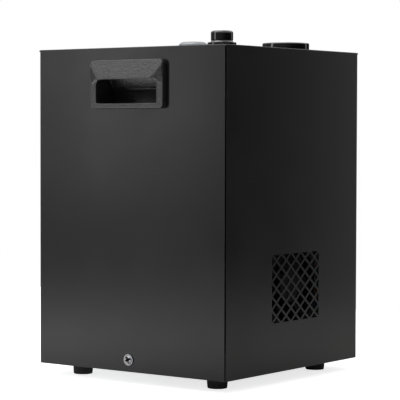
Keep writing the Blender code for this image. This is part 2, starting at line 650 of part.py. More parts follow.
def build_power_inlet():
    """Three-pin appliance inlet with a fuse drawer above it."""
    x, z = INLET_AT
    face = ON_PANEL + 0.0025
    inlet = piece("power_inlet", box((x - 0.024, ON_PANEL, z - 0.018), (x + 0.024, face, z + 0.018)),
                  BLACK_PLASTIC)
    fuse(inlet, box((x - 0.016, BEHIND_PANEL - 0.004, z - 0.014), (x + 0.016, ON_PANEL + 0.001, z + 0.014)))
    cut(inlet, box((x - 0.012, 0.086, z - 0.0125), (x + 0.012, face + 0.002, z + 0.0035)))
    pin_z = z - 0.0045
    pins = [((x + dx - 0.001, BEHIND_PANEL, pin_z + dz - 0.002), (x + dx + 0.001, 0.098, pin_z + dz + 0.002))
            for dx, dz in ((-0.007, -0.002), (0, 0.003), (0.007, -0.002))]
    fuse(inlet, boxes(*pins))
    slot_half, slot_low, slot_high = 0.008, z + 0.0060, z + 0.0128
    cut(inlet, box((x - slot_half, BEHIND_PANEL, slot_low), (x + slot_half, face + 0.002, slot_high)))

    drawer = piece("fuse_drawer", box((x - slot_half + GAP, BEHIND_PANEL + 0.0005, slot_low + GAP),
                                      (x + slot_half - GAP, face + 0.001, slot_high - GAP)),
                   BLACK_PLASTIC, (x, face, (slot_low + slot_high) / 2))
    cut(drawer, box((x - slot_half + 0.002, 0.087, slot_low + 0.003),
                    (x + slot_half - 0.002, 0.099, slot_high + 0.0012)))


def build_power_switch():
    """Rocker switch: a frame clipped in the panel and a rocker tilted to its off side."""
    x, z = SWITCH_AT
    face = ON_PANEL + 0.0020
    frame = piece("switch_frame", box((x - 0.011, ON_PANEL, z - 0.015), (x + 0.011, face, z + 0.015)),
                  BLACK_PLASTIC)
    fuse(frame, box((x - 0.0095, BEHIND_PANEL, z - 0.0135), (x + 0.0095, ON_PANEL + 0.001, z + 0.0135)))
    cut(frame, box((x - 0.0073, 0.088, z - 0.0113), (x + 0.0073, face + 0.002, z + 0.0113)))
    pivot_y = 0.0995
    outline = [(0.0044, -0.0096), (0.0030, 0), (0.0044, 0.0096), (-0.0030, 0.0092), (-0.0080, 0.0020),
               (-0.0080, -0.0020), (-0.0030, -0.0092)]
    shape = prism(outline, x - 0.0070, x + 0.0070, "x")
    tilt = Matrix.Translation((0, pivot_y, z)) @ Matrix.Rotation(-ROCKER_TILT, 4, 'X')
    bmesh.ops.transform(shape, matrix=tilt, verts=shape.verts)
    piece("power_rocker", shape, RED, (x, pivot_y, z))


def build_button_and_lamp():
    """Manual fog button in its bezel, and the ready lamp beside it."""
    x, z = BUTTON_AT
    radius, bore, tip = 0.0060, 0.0060 + GAP, 0.1066
    bezel = [(bore, 0.085), (0.0077, 0.085), (0.0077, ON_PANEL), (0.0090, ON_PANEL),
             (0.0090, ON_PANEL + 0.0014), (0.0082, ON_PANEL + 0.0022), (bore, ON_PANEL + 0.0022)]
    piece("button_bezel", turned(bezel, (x, 0, z), "y"), CHROME)
    button = [(0, 0.090), (radius, 0.090), (radius, tip - 0.0008), (radius - 0.0008, tip - 0.0002), (0, tip)]
    piece("fog_button", turned(button, (x, 0, z), "y"), RED, (x, tip, z))
    x, z = LAMP_AT
    lamp = [(0, 0.094), (0.0028, 0.094), (0.0028, ON_PANEL), (0.0038, ON_PANEL), (0.0036, 0.1028),
            (0.0024, 0.1044), (0, 0.1050)]
    piece("ready_lamp", turned(lamp, (x, 0, z), "y", 20), RED)


def build_dmx_sockets():
    """Round control sockets: a cup with three pins, and a face with three holes."""
    face = ON_PANEL + 0.0022
    cup, contact_circle = 0.0092, 0.0040
    for name, (x, z) in (("dmx_in", DMX_IN_AT), ("dmx_out", DMX_OUT_AT)):
        socket = piece(name, box((x - 0.013, ON_PANEL, z - 0.0155), (x + 0.013, face, z + 0.0155)),
                       BLACK_PLASTIC)
        fuse(socket, rod(0.0118, BEHIND_PANEL, ON_PANEL + 0.001, (x, 0, z), "y"))
        contacts = [(x + contact_circle * math.cos(angle), z + contact_circle * math.sin(angle))
                    for angle in (math.radians(degrees) for degrees in (30, 150, 270))]
        if name == "dmx_in":
            cut(socket, rod(cup, 0.089, face + 0.002, (x, 0, z), "y"))
            for a, b in contacts:
                fuse(socket, rod(0.0012, 0.087, 0.099, (a, 0, b), "y", 8))
        else:
            cut(socket, ring(cup - 0.0014, cup, 0.092, face + 0.002, (x, 0, z), "y"))
            for a, b in contacts:
                cut(socket, rod(0.0014, 0.091, face + 0.002, (a, 0, b), "y", 8))


def build_fan():
    """Axial fan behind the grille: square frame with a strutted hub, bladed rotor and bracket."""
    half = FAN_SIZE / 2
    rear = FAN_FRONT + FAN_DEPTH
    centre = (GRILLE_X, 0, GRILLE_Z)
    frame = piece("fan_frame", box((GRILLE_X - half, FAN_FRONT, GRILLE_Z - half),
                                   (GRILLE_X + half, rear, GRILLE_Z + half), 0.003, 1), BLACK_PLASTIC)
    cut(frame, rod(FAN_BORE, FAN_FRONT - 0.01, rear + 0.01, centre, "y", 28))
    strut = 0.0025
    reach = FAN_BORE + 0.001
    fuse(frame, boxes(((GRILLE_X - reach, rear - 0.004, GRILLE_Z - strut),
                       (GRILLE_X + reach, rear, GRILLE_Z + strut))))
    fuse(frame, boxes(((GRILLE_X - strut, rear - 0.0042, GRILLE_Z - reach),
                       (GRILLE_X + strut, rear - 0.0002, GRILLE_Z + reach))))
    fuse(frame, rod(HUB_RADIUS, rear - 0.0048, rear - 0.0004, centre, "y", 18))

    front, back = FAN_FRONT + 0.003, rear - 0.006
    hub = [(0, front), (HUB_RADIUS - 0.001, front), (HUB_RADIUS, front + 0.001), (HUB_RADIUS, back),
           (0, back)]
    axle = (GRILLE_X, (front + back) / 2, GRILLE_Z)
    rotor = piece("fan_rotor", turned(hub, centre, "y", 20), BLACK_PLASTIC, axle)
    blades = bmesh.new()
    for number in range(FAN_BLADES):
        add_blade(blades, math.tau * number / FAN_BLADES, front + 0.002, back - 0.001)
    bmesh.ops.translate(blades, vec=(GRILLE_X, 0, GRILLE_Z), verts=blades.verts)
    fuse(rotor, blades)

    plate = piece("fan_bracket", box((GRILLE_X - half, rear + GAP, ON_TRAY),
                                     (GRILLE_X + half, rear + GAP + SHEET, GRILLE_Z + half)), ZINC)
    fuse(plate, box((GRILLE_X - half, rear + GAP, ON_TRAY),
                    (GRILLE_X + half, rear + GAP + 0.012, ON_TRAY + SHEET)))
    cut(plate, rod(FAN_BORE, rear - 0.002, rear + 0.004, centre, "y", 28))


def add_blade(bm, angle, front, back):
    """One swept, pitched blade, from inside the hub to just short of the bore.

    Each section is a radius, and two angles: half the blade's spread and how far it leads.
    """
    sections = [(HUB_RADIUS - 0.0015, 0.30, 0.00), (0.0260, 0.26, 0.10), (FAN_BORE - 0.0020, 0.24, 0.24)]
    half_thickness = 0.0006
    rows = []
    for radius, spread, lead in sections:
        row = []
        for y, turn in ((front, -spread), (back, spread)):
            direction = angle + lead + turn
            for offset in (-half_thickness, half_thickness):
                row.append(bm.verts.new((radius * math.cos(direction) - offset * math.sin(direction),
                                         y, radius * math.sin(direction) + offset * math.cos(direction))))
        rows.append([row[0], row[1], row[3], row[2]])
    for row, following in zip(rows, rows[1:]):
        for i in range(4):
            j = (i + 1) % 4
            bm.faces.new((row[i], row[j], following[j], following[i]))
    bm.faces.new(rows[0])
    bm.faces.new(rows[-1])


def build_pump():
    """Piston pump: body with a guide tube, the coil round it and the plunger inside."""
    x, y = PUMP_AT
    half_x, half_y = 0.018, 0.016
    body = piece("pump_body", box((x - half_x, y - half_y, ON_TRAY), (x + half_x, y + half_y, PUMP_BODY_TOP)),
                 BRASS)
    fuse(body, rod(PUMP_GUIDE, PUMP_BODY_TOP - 0.002, 0.096, (x, y, 0), sides=16))
    cut(body, rod(PUMP_BORE, PUMP_BODY_TOP - 0.010, 0.100, (x, y, 0), sides=16))
    piece("pump_coil", ring(PUMP_GUIDE + GAP, half_y, PUMP_BODY_TOP + GAP, 0.084, (x, y, 0)), COPPER)
    piece("pump_plunger", rod(PLUNGER_RADIUS, PLUNGER_LOW, 0.094, (x, y, 0), sides=16), ALUMINIUM,
          (x, y, PLUNGER_LOW))


def build_control_board():
    """Control board on two rails, with its transformer."""
    (low_x, low_y, under), (high_x, high_y, face) = BOARD_LOW_CORNER, BOARD_HIGH_CORNER
    for y, name in ((low_y + 0.004, "front"), (high_y - 0.010, "rear")):
        piece(f"board_rail_{name}", box((low_x + 0.002, y, ON_TRAY),
                                        (high_x - 0.002, y + 0.006, under - GAP)), BLACK_PLASTIC)
    piece("control_board", box(BOARD_LOW_CORNER, BOARD_HIGH_CORNER), GREEN_BOARD)
    core = piece("transformer", box((-0.096, -0.040, face + GAP), (-0.066, -0.004, 0.058)), CAST)
    fuse(core, box((-0.100, -0.032, 0.036), (-0.062, -0.012, 0.054), 0.002, 1))


def build_hoses():
    """Suction tube over the tank's edge to the pump, delivery tube to the heater, heater lead."""
    x, y = PUMP_AT
    in_x, in_y = SUCTION_AT
    side_x, behind_y = x - 0.0186, y + 0.0166
    hose("suction_tube", [(in_x, in_y, 0.0324), (in_x, in_y, 0.120), (in_x, in_y, 0.236), (in_x, in_y, 0.250),
                          (in_x, 0.022, 0.270), (in_x, 0.062, 0.274), (in_x, 0.086, 0.252),
                          (in_x, 0.090, 0.200), (in_x, 0.090, 0.120), (in_x, 0.090, 0.050),
                          (in_x, 0.086, 0.032), (in_x, 0.080, TUBE_LEVEL), (in_x, behind_y, TUBE_LEVEL)],
         TUBE_RADIUS, 0.016, CLEAR_TUBE)
    out_x, out_y = OUTLET_AT
    hose("delivery_tube", [(side_x, y, TUBE_LEVEL), (0.042, y, TUBE_LEVEL), (0.016, 0.050, 0.030),
                           (0.002, 0.026, 0.042), (out_x, 0.011, 0.066), (out_x, out_y, 0.092),
                           (out_x, out_y, HEATER_LOW - 0.0004)],
         TUBE_RADIUS, 0.012, CLEAR_TUBE)
    hose("heater_lead", [(-0.058, 0.010, 0.0320), (-0.056, 0.010, 0.050), (-0.050, 0.010, 0.090),
                         (-0.048, 0.010, 0.160), (-0.047, 0.010, 0.220), (-0.042, 0.010, 0.246),
                         (-0.028, 0.0095, 0.256), (-0.018, out_y, 0.250),
                         (-CARTRIDGE_OFFSET, out_y, CARTRIDGE_TOP + 0.0004)],
         LEAD_RADIUS, 0.020, RED)


def main():
    clear_scene()
    build_cover()
    build_tray()
    build_feet()
    build_cover_screws()
    build_handles()
    build_outlet()
    build_heater()
    build_tank()
    build_filler_cap()
    build_output_knob()
    build_rear_panel()
    build_power_inlet()
    build_power_switch()
    build_button_and_lamp()
    build_dmx_sockets()
    build_fan()
    build_pump()
    build_control_board()
    build_hoses()


main()
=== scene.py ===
# %% [markdown]
# # An upright fog machine
#
# The imported model already holds every piece at its true size. This lesson gives those
# pieces their looks: finer shapes where the eye rests, and a procedural finish on all of
# them. The model is loaded first, because every size below is read from it.

# %% Load the frame
import json
import math

import bmesh
import bpy
import numpy as np
from mathutils import Matrix, Vector


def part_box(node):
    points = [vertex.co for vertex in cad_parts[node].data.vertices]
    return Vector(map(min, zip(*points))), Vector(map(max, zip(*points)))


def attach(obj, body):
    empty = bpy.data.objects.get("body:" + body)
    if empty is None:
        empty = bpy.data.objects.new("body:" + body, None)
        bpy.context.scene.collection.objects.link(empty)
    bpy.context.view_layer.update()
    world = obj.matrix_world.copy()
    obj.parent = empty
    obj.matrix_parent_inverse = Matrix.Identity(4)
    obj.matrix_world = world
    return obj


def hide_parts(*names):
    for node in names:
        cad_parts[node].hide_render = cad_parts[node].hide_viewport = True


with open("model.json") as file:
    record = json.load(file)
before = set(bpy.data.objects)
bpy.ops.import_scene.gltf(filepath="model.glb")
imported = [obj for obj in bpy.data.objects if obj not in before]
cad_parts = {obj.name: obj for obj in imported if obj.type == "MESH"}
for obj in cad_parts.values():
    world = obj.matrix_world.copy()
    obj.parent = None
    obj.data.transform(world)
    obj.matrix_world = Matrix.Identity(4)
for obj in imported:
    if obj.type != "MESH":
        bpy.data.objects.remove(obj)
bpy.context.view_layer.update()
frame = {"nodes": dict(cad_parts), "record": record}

MM = 0.001
nodes = frame["nodes"]
print("pieces in the frame:", len(nodes))


# %% [markdown]
# ## Reading positions from the frame
#
# A piece is placed from the box of the node that it dresses. Two small helpers give the
# middle of that box and its size, so that no position is typed twice.

# %% Places and sizes
def box_of(node):
    """The low and high corners of a node as arrays."""
    low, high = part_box(node)
    return np.array(low, float), np.array(high, float)


def middle_of(node):
    """The middle of a node's box."""
    low, high = box_of(node)
    return (low + high) / 2


case_low, case_high = box_of("cover_shell")
print("case, in millimetres:", np.round((case_high - case_low) / MM, 1))


# %% [markdown]
# ## Surfaces from loops
#
# Most new pieces are skins over a stack of closed loops. A loop is a row of points round
# the piece, and the next loop lies a little further along it, so the whole piece is a
# function of two parameters: how far round, and how far along. A turned piece is the
# simplest case, because all its loops are circles. Working on whole arrays keeps this
# fast, and one function can then close and store every shape.

# %% A skin over loops
def store_mesh(name, points, faces, smooth_angle=35):
    """Make an object from points and faces, with faces outwards and creases kept sharp."""
    mesh = bpy.data.meshes.new(name)
    mesh.from_pydata(points.tolist(), [], faces)
    mesh.validate()
    mesh.shade_smooth()
    mesh.set_sharp_from_angle(angle=math.radians(smooth_angle))
    obj = bpy.data.objects.new(name, mesh)
    bpy.context.scene.collection.objects.link(obj)
    return obj


def loop_faces(count, around, first=0):
    """Quads between each loop and the next, all the way round."""
    row = np.arange(count - 1)[:, None] * around + first
    here = np.arange(around)[None, :]
    there = (here + 1) % around
    quads = np.stack([row + here, row + there, row + around + there, row + around + here], axis=-1)
    return quads.reshape(-1, 4)


def signed_volume(points, quads, fans):
    """Volume inside a closed skin: a sixth of the sum of a . (b x c) over its triangles."""
    triangles = np.concatenate([quads[:, [0, 1, 2]], quads[:, [0, 2, 3]], fans])
    a, b, c = (points[triangles[:, i]] for i in range(3))
    return float(np.einsum("ij,ij->i", a, np.cross(b, c)).sum() / 6)


def skin(name, loops, smooth_angle=35):
    """Close a stack of loops, shape (loops, points, 3), with a fan at each end."""
    count, around, _ = loops.shape
    points = np.concatenate([loops.reshape(-1, 3), loops[:1].mean(axis=1), loops[-1:].mean(axis=1)])
    quads = loop_faces(count, around)
    here = np.arange(around)
    there = (here + 1) % around
    pole, last = count * around, (count - 1) * around
    fans = np.concatenate([np.stack([there, here, np.full(around, pole)], axis=1),
                           np.stack([last + here, last + there, np.full(around, pole + 1)], axis=1)])
    if signed_volume(points, quads, fans) < 0:
        quads, fans = quads[:, ::-1], fans[:, ::-1]
    return store_mesh(name, points, quads.tolist() + fans.tolist(), smooth_angle)


print("a skin of 12 loops of 48 points has", len(loop_faces(12, 48)), "faces")


# %% [markdown]
# ## Rounded outlines
#
# Nothing moulded or turned has a knife edge: every corner has a small radius that catches
# a thin line of light. So outlines are given as corners with a radius each, and each
# corner is replaced by a short arc that is tangent to both of its sides.

# %% Corners into arcs
def rounded(corners, steps=5, closed=False):
    """Replace each (a, b, radius) corner by an arc tangent to both sides.

    At a corner of half angle h, the arc starts radius / tan(h) from it along each side,
    and its points are read from a quadratic curve through the corner's two ends.
    """
    outline = np.array([corner[:2] for corner in corners], float)
    radii = np.array([corner[2] for corner in corners], float)
    before, after = np.roll(outline, 1, axis=0) - outline, np.roll(outline, -1, axis=0) - outline
    before_length = np.linalg.norm(before, axis=1)
    after_length = np.linalg.norm(after, axis=1)
    before /= before_length[:, None]
    after /= after_length[:, None]
    half = np.arccos(np.clip((before * after).sum(axis=1), -1, 1)) / 2
    reach = np.minimum(radii / np.tan(half), 0.49 * np.minimum(before_length, after_length))
    if not closed:
        reach[[0, -1]] = 0
    t = np.linspace(0, 1, steps)[None, :, None]
    weight = np.sin(half)[:, None, None]
    start = (outline + before * reach[:, None])[:, None]
    end = (outline + after * reach[:, None])[:, None]
    corner = outline[:, None]
    blend = (1 - t) ** 2 + 2 * weight * t * (1 - t) + t ** 2
    arcs = ((1 - t) ** 2 * start + 2 * weight * t * (1 - t) * corner + t ** 2 * end) / blend
    keep = np.ones((len(corners), steps), bool)
    keep[reach == 0, 1:] = False
    return arcs.reshape(-1, 2)[keep.reshape(-1)]


def turned(name, corners, centre, axis="z", around=96, steps=5):
    """Turn a rounded (radius, height) outline about an axis.

    A point at radius r and height h goes to (r cos a, r sin a, h) for each angle a.
    An outline that starts and ends on the axis is solid; any other is closed to a ring.
    """
    on_axis = corners[0][0] == 0 and corners[-1][0] == 0
    outline = rounded(corners, steps, closed=not on_axis)
    if on_axis:
        outline = outline[1:-1]
    angle = np.linspace(0, math.tau, around, endpoint=False)
    radius, height = outline[:, :1], outline[:, 1:]
    flat = np.stack([radius * np.cos(angle), radius * np.sin(angle), height + 0 * angle], axis=-1)
    order = {"z": (0, 1, 2), "y": (1, 2, 0), "x": (2, 0, 1)}[axis]
    loops = flat[..., order] + np.array(centre)
    if on_axis:
        return skin(name, loops)
    return ring_skin(name, loops)


def ring_skin(name, loops):
    """Close a stack of loops onto its own first loop, as a ring with a hole through it."""
    count, around, _ = loops.shape
    quads = loop_faces(count + 1, around) % (count * around)
    points = loops.reshape(-1, 3)
    if signed_volume(points, quads, np.zeros((0, 3), int)) < 0:
        quads = quads[:, ::-1]
    return store_mesh(name, points, quads.tolist())


square = [(0, 0, 2), (9, 0, 2), (9, 9, 2), (0, 9, 2)]
print("a square with 2 mm corners:", len(rounded(square, closed=True)), "points")


# %% [markdown]
# ## Softened copies
#
# Sheet metal with many holes is best left to the solid that already has them. A copy of
# the node is welded together and given a fine bevel, which puts a thin highlight on every
# edge without drawing a single hole again.

# %% Softened copies
def softened(node, width, segments=2, angle=30):
    """A welded copy of a node with its sharp edges bevelled.

    Each corner's normal is the mean of its faces' normals weighted by their areas, so flat
    faces stay flat and only the bevels and folds are shaded as curves.
    """
    copy = nodes[node].copy()
    copy.data = nodes[node].data.copy()
    copy.name = copy.data.name = f"{node}_finished"
    copy.parent = None
    for key in [key for key in copy.keys() if key.startswith("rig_")]:
        del copy[key]
    bpy.context.scene.collection.objects.link(copy)
    weld(copy.data)
    copy.data.shade_smooth()
    bevel = copy.modifiers.new("soft_edges", 'BEVEL')
    bevel.width = width
    bevel.segments = segments
    bevel.limit_method = 'ANGLE'
    bevel.angle_limit = math.radians(angle)
    flatten = copy.modifiers.new("flat_faces", 'WEIGHTED_NORMAL')
    flatten.mode = 'FACE_AREA'
    flatten.weight = 100
    return copy


def weld(mesh):
    """Merge a mesh's loose triangles at their corners and join the flat ones."""
    bm = bmesh.new()
    bm.from_mesh(mesh)
    bmesh.ops.remove_doubles(bm, verts=bm.verts, dist=1e-6)
    bmesh.ops.dissolve_limit(bm, angle_limit=math.radians(0.5), verts=bm.verts, edges=bm.edges)
    bm.to_mesh(mesh)
    bm.free()


print("helpers ready")


# %% [markdown]
# ## Three small tools for materials
#
# Colours are written as sRGB hex, the way a colour picker shows them, and the first tool
# turns them to the linear values that the shader works in. The second adds any node with
# its settings and links. The third starts a material and returns its shader and its Object
# coordinates, because a pattern on those keeps its real size on every piece.

# %% Colour, nodes and a bare material
def linear(colour):
    """sRGB hex to linear RGBA: below 0.04045 divide by 12.92, above it a 2.4 power curve."""
    channels = np.array([int(colour[i:i + 2], 16) for i in (1, 3, 5)]) / 255
    values = np.where(channels <= 0.04045, channels / 12.92, ((channels + 0.055) / 1.055) ** 2.4)
    return (*values.tolist(), 1.0)


def add(tree, kind, settings, **links):
    """Add a node, set its properties and sockets, and link sockets to other nodes' outputs.

    A link is named after its socket, with _ for a space, or is _ and the socket's number.
    """
    node = tree.nodes.new(kind)
    for key, value in settings.items():
        if isinstance(key, str) and hasattr(node, key):
            setattr(node, key, value)
        else:
            node.inputs[key].default_value = value
    for key, source in links.items():
        socket = int(key[1:]) if key[0] == "_" else key.replace("_", " ")
        tree.links.new(source, node.inputs[socket])
    return node


def new_material(name, base, roughness, metallic=0.0, ior=1.5, **sockets):
    """A Principled material with its constants set on the shader, and its Object coordinates."""
    mat = bpy.data.materials.new(name)
    mat.use_nodes = True
    tree = mat.node_tree
    shader = tree.nodes["Principled BSDF"]
    shader.inputs["Base Color"].default_value = linear(base)
    shader.inputs["Roughness"].default_value = roughness
    shader.inputs["Metallic"].default_value = metallic
    shader.inputs["IOR"].default_value = ior
    for socket, value in sockets.items():
        shader.inputs[socket.replace("_", " ")].default_value = value
    place = tree.nodes.new("ShaderNodeTexCoord").outputs["Object"]
    return mat, tree, shader, place


print("hex #808080 is linear", round(linear("#808080")[0], 3))


# %% [markdown]
# ## The camera, the table and the light
#
# The machine stands on a white table in a pale studio, seen almost level from its front
# left corner through a long lens. A tall, narrow softbox stands to the left and behind, so
# its reflection lies on the handle side. A weaker one at the far right only edges the
# grille side, and a wide one hangs overhead. The room is dark to the sides and bright
# above, which puts a thin light line on every fold and rim that leans upwards. Only
# reflections show any of this: to the camera the room is plain white.

# %% Camera
CAMERA_PLACE = (-1.3756, -1.0256, 0.2340)
CAMERA_LENS, SENSOR_WIDTH = 159.5, 36


def look_rotation(azimuth, elevation, roll):
    """Camera axes as columns: right, up and back, with back = (sin a cos e, -cos a cos e, sin e)."""
    a, e, r = (math.radians(angle) for angle in (azimuth, elevation, roll))
    back = Vector((math.sin(a) * math.cos(e), -math.cos(a) * math.cos(e), math.sin(e)))
    right = Vector((0, 0, 1)).cross(back).normalized()
    up = back.cross(right)
    turned_right = right * math.cos(r) + up * math.sin(r)
    turned_up = up * math.cos(r) - right * math.sin(r)
    return Matrix((turned_right, turned_up, back)).transposed()


camera_data = bpy.data.cameras.new("camera")
camera_data.lens = CAMERA_LENS
camera_data.sensor_width = SENSOR_WIDTH
camera = bpy.data.objects.new("camera", camera_data)
camera_turn = look_rotation(azimuth=-53.278, elevation=2.254, roll=0.128)
camera.matrix_world = Matrix.Translation(CAMERA_PLACE) @ camera_turn.to_4x4()
bpy.context.scene.collection.objects.link(camera)
bpy.context.scene.camera = camera
bpy.context.scene.view_settings.view_transform = 'Standard'
print("camera is", round(camera.location.length, 2), "m from the machine's foot")


# %% The room, as light
SOFTBOX_SIDE = Vector((-0.80, 0.60, 0.10))    # where the walls are a little less dark
WALL_DARK, WALL_PALE, CEILING, FILL = 0.02, 0.20, 1.5, 0.42


def make_world():
    """White to the camera and dim to matte surfaces, with more to see in reflections.

    Those see dark walls, a little paler towards the softbox, and a ceiling whose strength
    rises in a straight line from where a ray climbs at a quarter of its length to a half.
    """
    world = bpy.data.worlds.new("studio")
    world.use_nodes = True
    tree = world.node_tree
    tree.nodes.clear()
    ray = tree.nodes.new("ShaderNodeLightPath").outputs
    direction = tree.nodes.new("ShaderNodeTexCoord").outputs["Generated"]
    towards = add(tree, "ShaderNodeVectorMath", {
        "operation": 'DOT_PRODUCT', 1: SOFTBOX_SIDE.normalized()}, _0=direction)
    room = add(tree, "ShaderNodeMapRange", {
        "interpolation_type": 'SMOOTHSTEP', "From Min": -0.5, "From Max": 0.9, "To Min": WALL_DARK,
        "To Max": WALL_PALE}, Value=towards.outputs["Value"])
    height = add(tree, "ShaderNodeSeparateXYZ", {}, Vector=direction)
    ceiling = add(tree, "ShaderNodeMapRange", {"From Min": 0.25, "From Max": 0.50, "To Max": CEILING},
                  Value=height.outputs["Z"])
    above_walls = add(tree, "ShaderNodeMath", {"operation": 'MAXIMUM'}, _0=room.outputs["Result"],
                      _1=ceiling.outputs["Result"])
    seen_in_gloss = add(tree, "ShaderNodeMath", {"operation": 'MAXIMUM'}, _0=ray["Is Glossy Ray"],
                        _1=ray["Is Transmission Ray"])
    level = add(tree, "ShaderNodeMix", {"A": FILL}, Factor=seen_in_gloss.outputs[0],
                B=above_walls.outputs[0])
    final = add(tree, "ShaderNodeMix", {"B": 1.0}, Factor=ray["Is Camera Ray"], A=level.outputs["Result"])
    sky = add(tree, "ShaderNodeBackground", {"Color": (1, 1, 1, 1)}, Strength=final.outputs["Result"])
    add(tree, "ShaderNodeOutputWorld", {}, Surface=sky.outputs[0])
    bpy.context.scene.world = world


def softbox(name, place, target, width, height, power):
    """An area lamp that faces a target, with its height as near upright as that allows."""
    data = bpy.data.lights.new(name, 'AREA')
    data.shape = 'RECTANGLE'
    data.size = width
    data.size_y = height
    data.energy = power
    lamp = bpy.data.objects.new(name, data)
    lamp.location = place
    lamp.rotation_euler = (Vector(target) - Vector(place)).to_track_quat('-Z', 'Y').to_euler()
    bpy.context.scene.collection.objects.link(lamp)


make_world()
aim = (0, 0, 0.16)
softbox("key_strip", (-1.45, 1.12, 0.79), aim, width=0.35, height=1.46, power=5.4)
softbox("edge_strip", (1.60, -0.85, 0.65), aim, width=0.30, height=1.9, power=1.7)
softbox("top_softbox", (-0.2, 0.35, 1.6), aim, width=1.1, height=1.1, power=14)
print("softboxes placed")


# %% The table
TABLE_LOW, TABLE_HIGH = (-1.0, -0.6), (0.6, 1.0)
LIT_SPOT = (-0.40, 0.30, 0.0)    # the middle of the pool of light under the tall strip
POOL_RADIUS, POOL_STRENGTH = 0.45, 2.4
TABLE_GLOW = 0.75                # what lifts the table to plain white for the camera


def make_table():
    """A pale table, plain white to the camera, with a pool of light that only reflections see.

    The pool's strength falls in a straight line from the middle to nothing at its radius.
    """
    mesh = bpy.data.meshes.new("table")
    (x0, y0), (x1, y1) = TABLE_LOW, TABLE_HIGH
    mesh.from_pydata([(x0, y0, 0), (x1, y0, 0), (x1, y1, 0), (x0, y1, 0)], [], [(0, 1, 2, 3)])
    table = bpy.data.objects.new("table", mesh)
    bpy.context.scene.collection.objects.link(table)
    mat, tree, shader, place = new_material("white_table_laminate", "#f2f2f0", 0.7)
    ray = tree.nodes.new("ShaderNodeLightPath").outputs
    apart = add(tree, "ShaderNodeVectorMath", {"operation": 'DISTANCE', 1: LIT_SPOT}, _0=place)
    pool = add(tree, "ShaderNodeMapRange", {"From Min": POOL_RADIUS, "From Max": 0.0,
                                            "To Max": POOL_STRENGTH}, Value=apart.outputs["Value"])
    gloss = add(tree, "ShaderNodeMath", {"operation": 'MULTIPLY'}, _0=ray["Is Glossy Ray"],
                _1=pool.outputs["Result"])
    lift = add(tree, "ShaderNodeMath", {"operation": 'MULTIPLY_ADD', 1: TABLE_GLOW},
               _0=ray["Is Camera Ray"], _2=gloss.outputs[0])
    tree.links.new(lift.outputs[0], shader.inputs["Emission Strength"])
    shader.inputs["Emission Color"].default_value = (1, 1, 1, 1)
    mesh.materials.append(mat)


make_table()
print("table placed")


# %% [markdown]
# ## Painted steel
#
# The case is cold-rolled steel with a baked powder coat. Powder melts into a film that is
# satin, never glossy, with a fine pebble in it, so light spreads wide over a flat panel
# and each pebble breaks it up. A long, faint waviness of the sheet changes the gloss a
# little from place to place. Pebbles are 0.3 mm on the real coat and drawn at 1 mm here,
# because finer ones would average out in the view.
#
# On almost every real skin one grain shows three times: as tone, as gloss and as relief.
# So one function takes a pattern and lets it drive all three, and each finish below only
# has to say what its pattern is. Where the gloss follows something broader than the
# grain, as on the powder coat, a second pattern runs it.

# %% One pattern for tone, gloss and relief
RELIEF_STRENGTH = 0.45


def drive(tree, shader, pattern, tone, gloss, depth, span=(0.35, 0.65), gloss_pattern=None,
          gloss_span=None):
    """Let a pattern run the shader: two hex tones, two roughness values and a relief in metres.

    The tones and the roughness are straight lines in the pattern's value over the span,
    and the relief is the value times the depth. The roughness may have a pattern of its own.
    """
    ramp = add(tree, "ShaderNodeValToRGB", {}, Fac=pattern)
    for stop, position, colour in zip(ramp.color_ramp.elements, span, tone):
        stop.position = position
        stop.color = linear(colour)
    shine_span = gloss_span or span
    shine = add(tree, "ShaderNodeMapRange", {
        "From Min": shine_span[0], "From Max": shine_span[1], "To Min": gloss[0], "To Max": gloss[1]},
        Value=gloss_pattern or pattern)
    relief = add(tree, "ShaderNodeBump", {"Strength": RELIEF_STRENGTH, "Distance": depth}, Height=pattern)
    tree.links.new(ramp.outputs["Color"], shader.inputs["Base Color"])
    tree.links.new(shine.outputs["Result"], shader.inputs["Roughness"])
    tree.links.new(relief.outputs[0], shader.inputs["Normal"])
    return ramp.outputs["Color"]


# %% Powder coat
def powder_coat(name, tone, gloss):
    """Satin powder coat: a fine pebble, with a faint waviness of the sheet in its gloss."""
    mat, tree, shader, place = new_material(name, tone[0], gloss[0], Specular_IOR_Level=0.28)
    pebble = add(tree, "ShaderNodeTexNoise", {"Scale": 1 / (1.0 * MM), "Detail": 3, "Roughness": 0.6},
                 Vector=place)
    wave = add(tree, "ShaderNodeTexNoise", {"Scale": 1 / (55 * MM), "Detail": 2}, Vector=place)
    drive(tree, shader, pebble.outputs["Fac"], tone, gloss, 0.03 * MM,
          gloss_pattern=wave.outputs["Fac"], gloss_span=(0.3, 0.7))
    return mat


case_coat = powder_coat("black_powder_coated_steel", ("#0e0e0f", "#141415"), (0.23, 0.27))
panel_coat = powder_coat("sunk_panel_powder_coat", ("#101011", "#171718"), (0.31, 0.36))
print("coats:", case_coat.name, "and", panel_coat.name)


# %% [markdown]
# ## Moulded plastics and rubber
#
# The handles are ABS from a spark-eroded tool, whose craters, about 1 mm on the real
# thing, show as a coarse grain. They are drawn at twice that, so that they still show in
# the view. Knobs and caps come from polished tools, so they are glossy, with only a trace
# of flow in the surface. Connectors are nylon with a fine matt grain, and the fan is the
# same but duller, with dust. The feet are rubber, which is duller still.

# %% Plastics and rubber
def moulded(name, tone, gloss, grain, depth, detail=4, **sockets):
    """A moulded plastic whose tool left a grain of the given size and depth, in metres."""
    mat, tree, shader, place = new_material(name, tone[0], gloss[0], ior=1.53, **sockets)
    noise = add(tree, "ShaderNodeTexNoise", {"Scale": 1 / grain, "Detail": detail, "Roughness": 0.65},
                Vector=place)
    drive(tree, shader, noise.outputs["Fac"], tone, gloss, depth)
    return mat


